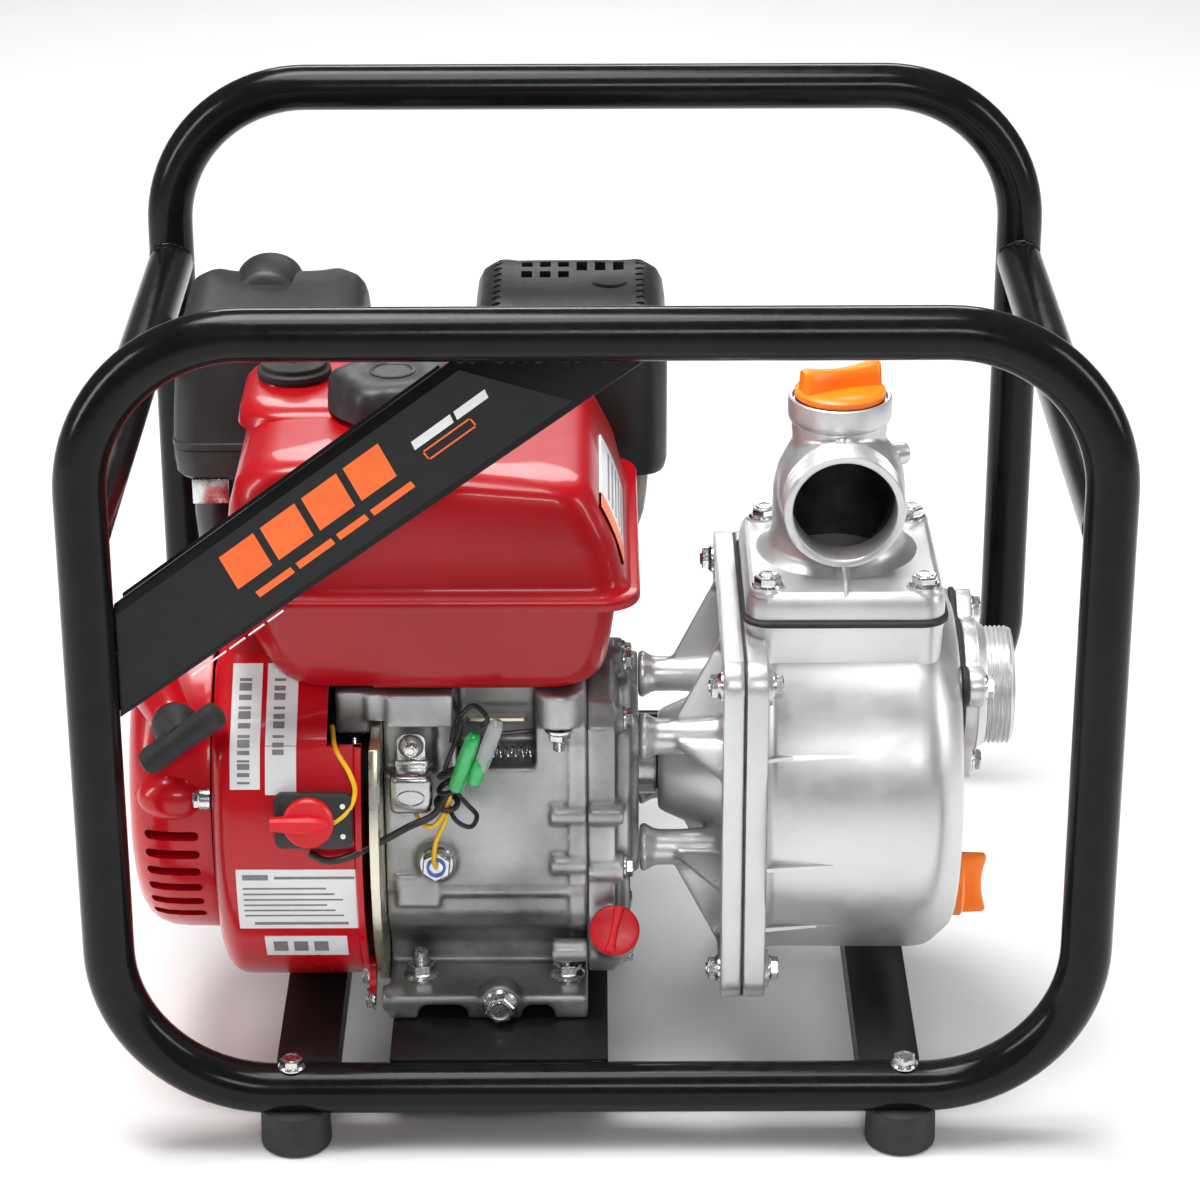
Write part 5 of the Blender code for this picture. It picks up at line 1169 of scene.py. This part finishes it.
def casing_pieces():
    """The pump's drum with its square flange and top chamber, hollow inside, and the flange's joint."""
    drum = lathe([
        (0, 0.18), (0.0775, 0.18), (0.0815, 0.1792), (0.085, 0.1776), (0.0925, 0.169), (0.0945, 0.1655),
        (0.0955, 0.161), (0.0956, 0.156), (0.0952, 0.088), (0.0962, 0.085), (0.099, 0.0828), (0, 0.0828),
    ], on_axis(0), X, 144, sharp=50)
    flange = carve(prism(pump_outline(), "X", FLANGE_LEFT, 0.083, 0.0012, 3),
                   rod(0.07, 0.06, 0.1, on_axis(0), X, 64))
    chamber_box = (FLANGE_LEFT + 0.0004, 0.1707, -0.135, -0.025)
    levels = [(0.17, 0.003), (0.21, 0.0022), (0.244, 0.0008), (0.247, 0.0), (0.2492, 0.0)]
    chamber = loft([ring_in(chamber_box, inset, 0.012, z) for z, inset in levels], sharp=50)
    bosses = [lathe([(0, 0.213), (0.006, 0.214), (0.0085, 0.2185), (0.0092, 0.2492), (0, 0.2492)],
                    (x, y + (0.002 if y > CRANK_Y else -0.002), 0), Z, 32) for x, y in TOP_SCREWS]
    webs = []
    for z, reach in ((0.1938, 0.012), (0.139, 0.033), (0.0972, 0.026)):
        for side in (-1, 1):
            y = CRANK_Y + side * math.sqrt(CASING_RADIUS ** 2 - (CRANK_Z - z) ** 2)
            corners = [(0.0826, y - side * 0.0042, 0.0011), (0.0826, y + side * 0.0042, 0.0011),
                       (0.083 + reach, y, 0.0007)]
            webs.append(loft([[(x, web_y, z + face * half)
                               for x, web_y, half in corners] for face in (-1, 1)]))
    pads = [lathe([(0, 0.083), (0.0098, 0.083), (0.0092, 0.0852), (0, 0.0852)], (0, y, z), X, 36)
            for y, z, _, _ in four(*FLANGE_SCREW)]
    screws = [bolt((0.0851, y, z), X, 0.01, 8 + 11 * side_z) for y, z, _, side_z in four(*FLANGE_SCREW)]
    seat = prism(lobed(grow=0.0004), "X", 0.15, CASING_RIGHT, 0.001)
    drain_seat = lathe([(0, 0.17), (0.019, 0.176), (0.0178, 0.18), (0, 0.18)], (0, *DRAIN), X)
    inlet = rod(BORE, 0.16, 0.19, (0, CRANK_Y, SUCTION_Z), X, 64)
    drain_hole = rod(0.0122, 0.16, 0.19, (0, *DRAIN), X)
    drum_hollow = lathe([(0, 0.174), (0.0765, 0.174), (0.085, 0.17), (0.09, 0.158), (0.09, 0.06),
                         (0, 0.06)], on_axis(0), X, 96)
    chamber_hollow = block((FLANGE_LEFT + 0.0085, -0.1275, 0.15), (0.1635, -0.0325, 0.27), 0.004)
    body = merge(drum, flange, chamber, *bosses, *webs, *pads)
    body = carve(body, merge(seat, drain_seat), operation="UNION")
    body = carve(carve(body, drum_hollow, chamber_hollow), inlet, drain_hole)
    piece("pump_body", [(body, SILVER), (merge(*screws), ZINC)], slot="silver_paint",
          replaces=["pump_casing"])
    joint = prism(pump_outline(0.0004), "X", FLANGE_LEFT - 0.0006, FLANGE_LEFT + 0.0002)
    piece("casing_joint", [(carve(joint, rod(0.088, 0.06, 0.1, on_axis(0), X)), DARK_JOINT_AND_BORE_SHADE)])


def elbow_pieces():
    """The chamber's gasket and the top cover: its riser, priming neck and threaded discharge port."""
    gasket = []
    for height, grow in ((0.2494, 0.0), (0.25, 0.0009), (0.2518, 0.001), (0.2527, 0.0)):
        ring = ring_in((FLANGE_LEFT, 0.1712, -0.1362, -0.0238), -grow, 0.013, height)
        gasket.append([(x, y, z + 0.0003 * math.sin(x * 160) * (z > 0.2505)) for x, y, z in ring])
    opening = block((0.082, -0.126, 0.24), (0.162, -0.034, 0.26), 0.006)
    piece("chamber_gasket", [(carve(loft(gasket), opening), RUBBER)], slot="black_rubber",
          replaces=["top_gasket"])

    x, y = PRIMING
    cover_box = (FLANGE_LEFT + 0.0006, 0.1705, -0.1348, -0.0252)
    cover = loft([ring_in(cover_box, inset, 0.0115, z)
                  for z, inset in ((0.253, 0.0), (0.259, 0.0), (0.2635, 0.0012), (0.2655, 0.0022),
                                   (0.2663, 0.004))], sharp=50)
    pads = [boss((sx, sy, 0.264), (sx, sy, 0.267), 0.0092) for sx, sy in TOP_SCREWS]
    plate = carve(merge(cover, *pads), rod(RISER_BORE, 0.24, 0.3, (x, y, 0), Z, 64))
    riser = lathe([(0, 0.3345), (0.0236, 0.3345), (0.0232, 0.324), (0.0262, 0.318), (0.03, 0.31),
                   (0.0322, 0.3), (0.0325, 0.288), (0.0322, 0.278), (0.0345, 0.2705), (0.0395, 0.2665),
                   (0.044, 0.265), (0, 0.26)], (x, y, 0), Z, 72)
    port_root = (DISCHARGE_X, -0.0735, DISCHARGE_Z)
    port = lathe([(0, 0.0), (0.032, 0.0), (0.0312, 0.018), (0.0292, 0.025), (0.0286, 0.0275), (0, 0.0275)],
                 port_root, -Y, 72)
    ribs = [
        block((DISCHARGE_X - 0.0012, -0.134, 0.264), (DISCHARGE_X + 0.0012, -0.1, 0.2745)),
        block((x - 0.002, -0.1, 0.318), (x + 0.002, -0.085, 0.333)),
        boss((x + 0.02, -0.068, 0.312), (x + 0.035, -0.062, 0.312), 0.0058),
    ]
    neck = lathe([(NECK_BORE, 0.33), (0.0236, 0.33), (0.0236, 0.3345), (0.0252, 0.3362), (0.0256, 0.3385),
                  (0.0256, 0.3445), (0.0254, 0.3472), (0.0248, 0.3476), (0.0236, 0.3474), (0.0232, 0.3462),
                  (0.0231, 0.345), (NECK_BORE, 0.345)], (x, y, 0), Z, 72, closed=True)
    bore = lathe([(0, 0.36), (NECK_BORE, 0.36), (NECK_BORE, 0.33), (RISER_BORE, 0.315), (RISER_BORE, 0.285),
                  (0.024, 0.24), (0, 0.24)], (x, y, 0), Z, 64)
    wide = BORE + 0.0006
    made = carve(carve(casting(0.0012, 5, riser, port, *ribs, keep=0.6), bore),
                 rod(wide, -0.002, 0.06, port_root, -Y, 64))

    def inside(point):
        """Whether a point is on the wall of the port's or the riser's bore."""
        off_port = math.hypot(point.x - DISCHARGE_X, point.z - DISCHARGE_Z)
        off_riser = math.hypot(point.x - x, point.y - y)
        in_port = off_port < wide + 0.0006 and point.y < y
        return in_port or off_riser < (RISER_BORE + 0.0004 if point.z < 0.314 else NECK_BORE + 0.0003)

    # The faces on the bore walls take the dark finish: painted shade inside the port and the riser.
    painted_bore_shade, shell = split(made, inside)
    sleeve_end = pipe_thread((DISCHARGE_X, 0, DISCHARGE_Z), -Y, 0.0985, -DISCHARGE_FACE, THREAD, BORE,
                             depth=0.0009)
    screws = [bolt((sx, sy, 0.2669), Z, 0.0115, 13 * n) for n, (sx, sy) in enumerate(TOP_SCREWS)]
    piece("top_cover", [(merge(shell, plate, neck, sleeve_end), SILVER), (painted_bore_shade, DARK_JOINT_AND_BORE_SHADE),
                        (merge(*screws), ZINC)], slot="silver_paint", replaces=["discharge_elbow"])


def suction_pieces():
    """The suction flange, its gasket and its threaded port."""
    seat = (0, CRANK_Y, SUCTION_Z)
    hole = rod(BORE, 0.17, 0.22, seat, X, 64)
    gasket = carve(prism(lobed(grow=0.0012), "X", CASING_RIGHT + 0.0003, CASING_RIGHT + 0.0031, 0.0008),
                   hole)
    piece("inlet_gasket", [(gasket, RUBBER)], slot="black_rubber", replaces=["suction_gasket"])
    plate = prism(lobed(), "X", CASING_RIGHT + 0.0034, 0.1915, 0.0012, 3)
    hub = lathe([(0, 0.19), (0.0345, 0.1905), (0.032, 0.1925), (0.0302, 0.195), (0, 0.195)], seat, X, 64)
    body = carve(merge(plate, hub), hole)
    thread = pipe_thread(seat, X, 0.1925, SUCTION_FACE, THREAD, BORE)
    screws = [bolt((0.1914, CRANK_Y + y, SUCTION_Z + z), X, 0.01, 19 * n)
              for n, (y, z) in enumerate(SUCTION_LOBES)]
    piece("inlet_flange", [(merge(body, thread), SILVER), (merge(*screws), ZINC)], slot="silver_paint",
          replaces=["suction_flange"])


# ---- air cleaner and exhaust ---------------------------------------------------------------
def air_cleaner_pieces():
    """The air cleaner's lid with its hump, and its tray with the intake elbow and clips."""
    box = (-0.2218, -0.1174, 0.0224, 0.1246)
    levels = [
        (0.2803, 0.0, 0.012), (0.283, 0.0002, 0.012), (0.3, 0.001, 0.0125), (0.323, 0.0026, 0.014),
        (0.338, 0.004, 0.015), (0.344, 0.0056, 0.016), (0.3482, 0.008, 0.017), (0.3512, 0.0116, 0.018),
        (0.3531, 0.0168, 0.019), (0.354, 0.024, 0.02), (0.3542, 0.035, 0.014),
    ]

    def roof_dip(x, y):
        return 0.0028 * (1 - ease(abs(x + 0.17), 0.022, 0.034)) + 0.0085 * (1 - ease(y, 0.04, 0.092))

    cover = loft([[(x, y, h - ease(h, 0.34, 0.353) * roof_dip(x, y))
                   for x, y, h in ring_in(box, inset, radius, z)]
                  for z, inset, radius in levels], sharp=50)
    arch = [math.radians(angle) for angle in range(0, 181, 10)]
    hump = loft([[(-0.1745 + 0.0185 * size * math.cos(turn), y,
                   0.34 + 0.0186 * size * max(math.sin(turn), 0) ** 0.8) for turn in arch]
                 for y, size in ((0.0845, 0.72), (0.086, 0.84), (0.088, 0.93), (0.113, 1.0), (0.116, 0.97),
                                 (0.118, 0.9), (0.119, 0.82))], sharp=60)
    lip = loft([ring_in(box, inset - 0.0003, 0.013, z)
                for z, inset in ((0.2803, 0.0006), (0.2811, 0.0), (0.284, 0.0), (0.285, 0.0008))])
    piece("air_cleaner_lid", [(merge(cover, hump, lip), PLASTIC)], slot="black_plastic",
          replaces=["air_cleaner_cover"])
    tray = loft([ring_in(box, inset, 0.012, z)
                 for z, inset in ((0.2622, 0.007), (0.263, 0.0035), (0.266, 0.0012), (0.277, 0.0004),
                                  (0.2797, 0.0004))], sharp=50)
    elbow = loft([[(middle + half_x * c, 0.065 + half_y * s, z) for c, s in circle(36)]
                  for middle, half_x, half_y, z in (
                      (-0.203, 0.0125, 0.0205, 0.268), (-0.203, 0.0125, 0.0205, 0.23),
                      (-0.2022, 0.0117, 0.019, 0.212), (-0.2005, 0.009, 0.015, 0.2045),
                      (-0.2, 0.003, 0.006, 0.202))], sharp=60)
    stub = rod(0.015, 0, 0.008, (-0.1975, *from_crank(0.162)), X, 40)
    clips = [block((box[0], y, 0.27), (box[0] + 0.002, y + 0.012, 0.286), 0.0006) for y in (0.035, 0.1)]
    foot = block((-0.212, 0.024, 0.25), (-0.193, 0.0262, 0.264), 0.0006)
    piece("air_cleaner_tray", [(merge(tray, elbow, stub, *clips), PLASTIC), (foot, ZINC)],
          slot="black_plastic", replaces=["air_cleaner_base"])


def shield_piece():
    """The exhaust's guard with its punched slots, and the spark plug's boot and lead."""
    box = (-0.064, 0.0374, 0.0254, 0.139)

    def shell(inset=0.0, lift=0.0):
        rings = []
        for z, tuck, radius in ((0.2622, 0.003, 0.013), (0.265, 0.0012, 0.014), (0.27, 0.0, 0.015),
                                (0.331, 0.0, 0.015), (0.34, 0.0014, 0.015), (0.346, 0.004, 0.016),
                                (0.35, 0.008, 0.017), (0.3522, 0.013, 0.018), (0.3531, 0.02, 0.019)):
            ring = ring_in(box, inset + tuck, radius - inset * 0.5, z - inset * 1.1 + lift)
            rings.append([(x, y, h - 0.0024 * ease(h, 0.34, 0.351)
                           * (1 - ease(abs(x + 0.0132), 0.026, 0.038)))
                          for x, y, h in ring])
        return loft(rings, sharp=50)

    holes = []
    for n in range(6):
        x = -0.0395 + 0.0098 * n
        holes.append(block((x, 0.112 if n < 3 else 0.106, 0.33), (x + 0.0058, 0.121, 0.36), 0.0004, 1))
        if n < 3:
            holes.append(block((x, 0.0945, 0.33), (x + 0.0058, 0.105, 0.36), 0.0004, 1))
    for n in range(9):
        y = 0.05 + 0.0092 * n
        for x in (-0.052, 0.0235):
            slot = rounded((x - 0.0024, y - 0.0016), (x + 0.0024, y + 0.0016), 0.0015, 4)
            holes.append(prism(slot, "Z", 0.33, 0.36))
    for n in range(6):
        y = 0.0455 + 0.0145 * n
        for side in ((-0.08, -0.05), (0.025, 0.05)):
            for z in (0.3005, 0.278):
                holes.append(prism(rounded((y, z), (y + 0.0075, z + 0.0145), 0.0035, 5), "X", *side))
        x = -0.05 + 0.015 * n
        holes.append(prism(rounded((x, 0.285), (x + 0.0075, 0.318), 0.0035, 5), "Y", 0.12, 0.15))
    body = carve(shell(), shell(0.0018, 0.0006))
    body = carve(body, block((-0.1, 0.0, 0.25), (0.1, 0.2, 0.264)),
                 leaning_block(0.1, 0.2225, 0.04, -0.2, 0.0))
    screw_x, screw_y = 0.008, 0.087
    body = carve(body, *holes, rod(0.0088, 0.0, 0.02, (screw_x, screw_y, 0.3435), Z, 32))
    dish = lathe([(0.01, 0.0085), (0.0085, 0.0035), (0.005, 0.0015), (0, 0.0015), (0, 0.003),
                  (0.0045, 0.003), (0.0072, 0.0045), (0.009, 0.009)], (screw_x, screw_y, 0.343), Z, 40)
    screw = merge(lathe([(0.0044, 0.0), (0.0042, 0.0014), (0.0026, 0.0026), (0, 0.0029)],
                        (screw_x, screw_y, 0.3459), Z, 28),
                  lathe([(0.006, 0.0), (0.006, 0.0006), (0, 0.0008)], (screw_x, screw_y, 0.3455), Z, 28))
    piece("exhaust_guard", [(merge(body, dish), BLACK_SATIN), (screw, ZINC)],
          slot="black_paint", replaces=["muffler_shield"])

    def on_plug(distance):
        return Vector((CYLINDER_X + 0.032, *from_crank(distance, -0.004)))

    boot = lathe([(0.0074, 0.0), (0.01, 0.0), (0.0102, 0.003), (0.0096, 0.0045), (0.0098, 0.012),
                  (0.0092, 0.024), (0.0084, 0.029), (0.0062, 0.032), (0, 0.033)],
                 on_plug(0.2023), Vector((0, math.cos(TILT), math.sin(TILT))), 40)
    piece("plug_boot", [(boot, RUBBER)], slot="black_rubber", replaces=["spark_plug_cap"])
    lead("plug_lead", [on_plug(0.234), on_plug(0.239), (-0.045, 0.153, 0.25), (-0.085, 0.142, 0.232),
                       (-0.112, 0.118, 0.205), (-0.114, 0.07, 0.186), (-0.114, 0.0353, 0.186)], 0.0035,
         BLACK_WIRE, slot="black_rubber")


# ---- CAD pieces that keep their own shape ----------------------------------------------
KEPT = {
    BLACK_SATIN: ["cross_bar_left", "cross_bar_right", "engine_mount_plate"],
    YELLOW_ZINC: ["baffle_plate", "starter_cup"],
    CAST: ["cylinder_head", "carburetor"],
    STEEL: ["crankshaft", "head_cover", "spark_plug"],
    IRON: ["flywheel", "impeller", "inner_volute"],
    HOT_STEEL: ["muffler"],
    ZINC: ["throttle_plate", "throttle_lever"],
    RUBBER: ["fuel_cap_gasket", "oil_dipstick_o_ring", "priming_plug_o_ring", "drain_plug_o_ring",
             "check_valve_flap"],
    PLASTIC: ["recoil_reel", "choke_lever", "fuel_valve_lever"],
    FOAM: ["air_filter_element"],
}


def smoothing_group():
    """Geometry nodes that shade smooth, but for the edges over 35 degrees."""
    group = bpy.data.node_groups.new("smooth_by_angle", "GeometryNodeTree")
    group.interface.new_socket("Geometry", in_out="INPUT", socket_type="NodeSocketGeometry")
    group.interface.new_socket("Geometry", in_out="OUTPUT", socket_type="NodeSocketGeometry")
    start, end = group.nodes.new("NodeGroupInput"), group.nodes.new("NodeGroupOutput")
    faces = group.nodes.new("GeometryNodeSetShadeSmooth")
    edges = group.nodes.new("GeometryNodeSetShadeSmooth")
    edges.domain = "EDGE"
    edges.inputs["Shade Smooth"].default_value = False
    angle = group.nodes.new("GeometryNodeInputMeshEdgeAngle")
    sharp = group.nodes.new("FunctionNodeCompare")
    sharp.operation = "GREATER_THAN"
    sharp.inputs["B"].default_value = math.radians(35)
    group.links.new(angle.outputs["Unsigned Angle"], sharp.inputs["A"])
    group.links.new(start.outputs[0], faces.inputs["Geometry"])
    group.links.new(faces.outputs[0], edges.inputs["Geometry"])
    group.links.new(sharp.outputs["Result"], edges.inputs["Selection"])
    group.links.new(edges.outputs[0], end.inputs[0])
    return group


def dress_kept_nodes():
    """Finishes, rounded edges and smooth shading for the nodes that keep their own shape."""
    group = smoothing_group()
    for look, names in KEPT.items():
        for name in names:
            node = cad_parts[name]
            node.data.materials.clear()
            node.data.materials.append(look)
            weld = node.modifiers.new("weld", "WELD")
            weld.merge_threshold = 0.00001
            rounding = node.modifiers.new("rounding", "BEVEL")
            rounding.width = 0.0005
            rounding.segments = 2
            rounding.limit_method = "ANGLE"
            rounding.angle_limit = math.radians(40)
            node.modifiers.new("smooth", "NODES").node_group = group


# ---- studio --------------------------------------------------------------------------
def panel(name, place, target, size, power):
    """A soft rectangular light that faces a point."""
    light = bpy.data.lights.new(name, "AREA")
    light.shape = "RECTANGLE"
    light.size, light.size_y = size
    light.energy = power
    made = linked(name, light)
    made.location = place
    made.rotation_euler = (Vector(target) - Vector(place)).to_track_quat("-Z", "Y").to_euler()


def studio():
    """A pale floor, a dim sky and soft lights round the pump."""
    look = finish("pale_floor", [(0.86, 0.86, 0.86), (0.88, 0.88, 0.88)], (0.7, 0.8), mottle=2,
                  grain=(30, 0.00001))
    shape = bmesh.new()
    shape.faces.new([shape.verts.new((x, y, -0.0002)) for x, y in ((-30, -30), (30, -30), (30, 30),
                                                                   (-30, 30))])
    mesh = as_mesh(shape, "floor")
    mesh.materials.append(look)
    linked("floor", mesh)

    world = bpy.data.worlds.new("studio")
    world.use_nodes = True
    sky = world.node_tree.nodes["Background"]
    sky.inputs["Color"].default_value = (0.92, 0.94, 1.0, 1)
    sky.inputs["Strength"].default_value = 0.14
    bpy.context.scene.world = world

    middle = (0, 0, 0.2)
    panel("top_box", (-0.25, -0.15, 2.0), middle, (1.3, 0.9), 36)
    panel("left_strip", (-1.8, -0.6, 1.0), middle, (0.35, 1.2), 15)
    panel("right_strip", (1.8, -0.4, 1.0), middle, (0.35, 1.2), 12)
    panel("front_fill", (0.3, -2.6, 1.7), middle, (1.0, 0.45), 16)
    panel("back_box", (0.0, 2.0, 1.5), middle, (1.4, 0.5), 15)

    sun = bpy.data.lights.new("overhead", "SUN")
    sun.energy = 1.15
    sun.angle = math.radians(24)
    linked("overhead", sun).rotation_euler = (math.radians(-6), math.radians(-10), 0)


def camera():
    """A long lens in front, looking down on the pump."""
    pitch, yaw, roll = math.radians(23.905), math.radians(-0.0775), math.radians(-0.1627)
    back = Vector((math.sin(yaw) * math.cos(pitch), -math.cos(yaw) * math.cos(pitch), math.sin(pitch)))
    right = Vector((math.cos(yaw), math.sin(yaw), 0))
    up = back.cross(right)
    right, up = (math.cos(roll) * right + math.sin(roll) * up,
                 math.cos(roll) * up - math.sin(roll) * right)
    lens = bpy.data.cameras.new("camera")
    lens.lens = 110.43
    lens.sensor_width = 36
    made = linked("camera", lens)
    matrix = Matrix((right, up, back)).transposed().to_4x4()
    matrix.translation = (-0.000491, -1.767365, 0.987974)
    made.matrix_world = matrix
    bpy.context.scene.camera = made


studio()
camera()
bpy.context.scene.view_settings.view_transform = "Standard"
frame_pieces()
nameplate()
tank_pieces()
cap_pieces()
shroud_pieces()
recoil_pieces()
switch_pieces()
crankcase_pieces()
cover_pieces()
wiring()
adapter_piece()
casing_pieces()
elbow_pieces()
suction_pieces()
air_cleaner_pieces()
shield_piece()
hand_plug("oil_filler_cap", "oil_dipstick", FILLER_SEAT, FILLER_OUT, stem=0.008, depth=0.018, collar=0.0125,
          height=0.0048, wing=(0.0118, 0.0028, 0.0062), look=RED_PLASTIC, body="dipstick_turn",
          slot="red_plastic", spin=78)
hand_plug("priming_cap", "priming_plug", (*PRIMING, PRIMING_RIM), Z, stem=0.0185, depth=0.013,
          collar=0.0224,
          height=0.0042, wing=(0.0205, 0.006, 0.0125), look=ORANGE_PLASTIC, body="priming_turn",
          slot="orange_plastic", spin=22)
hand_plug("drain_cap", "drain_plug", (CASING_RIGHT, *DRAIN), X, stem=0.0118, depth=0.01, collar=0.0172,
          height=0.0062, wing=(0.0155, 0.0046, 0.0135), look=ORANGE_PLASTIC, body="drain_turn",
          slot="orange_plastic", spin=84)
dress_kept_nodes()
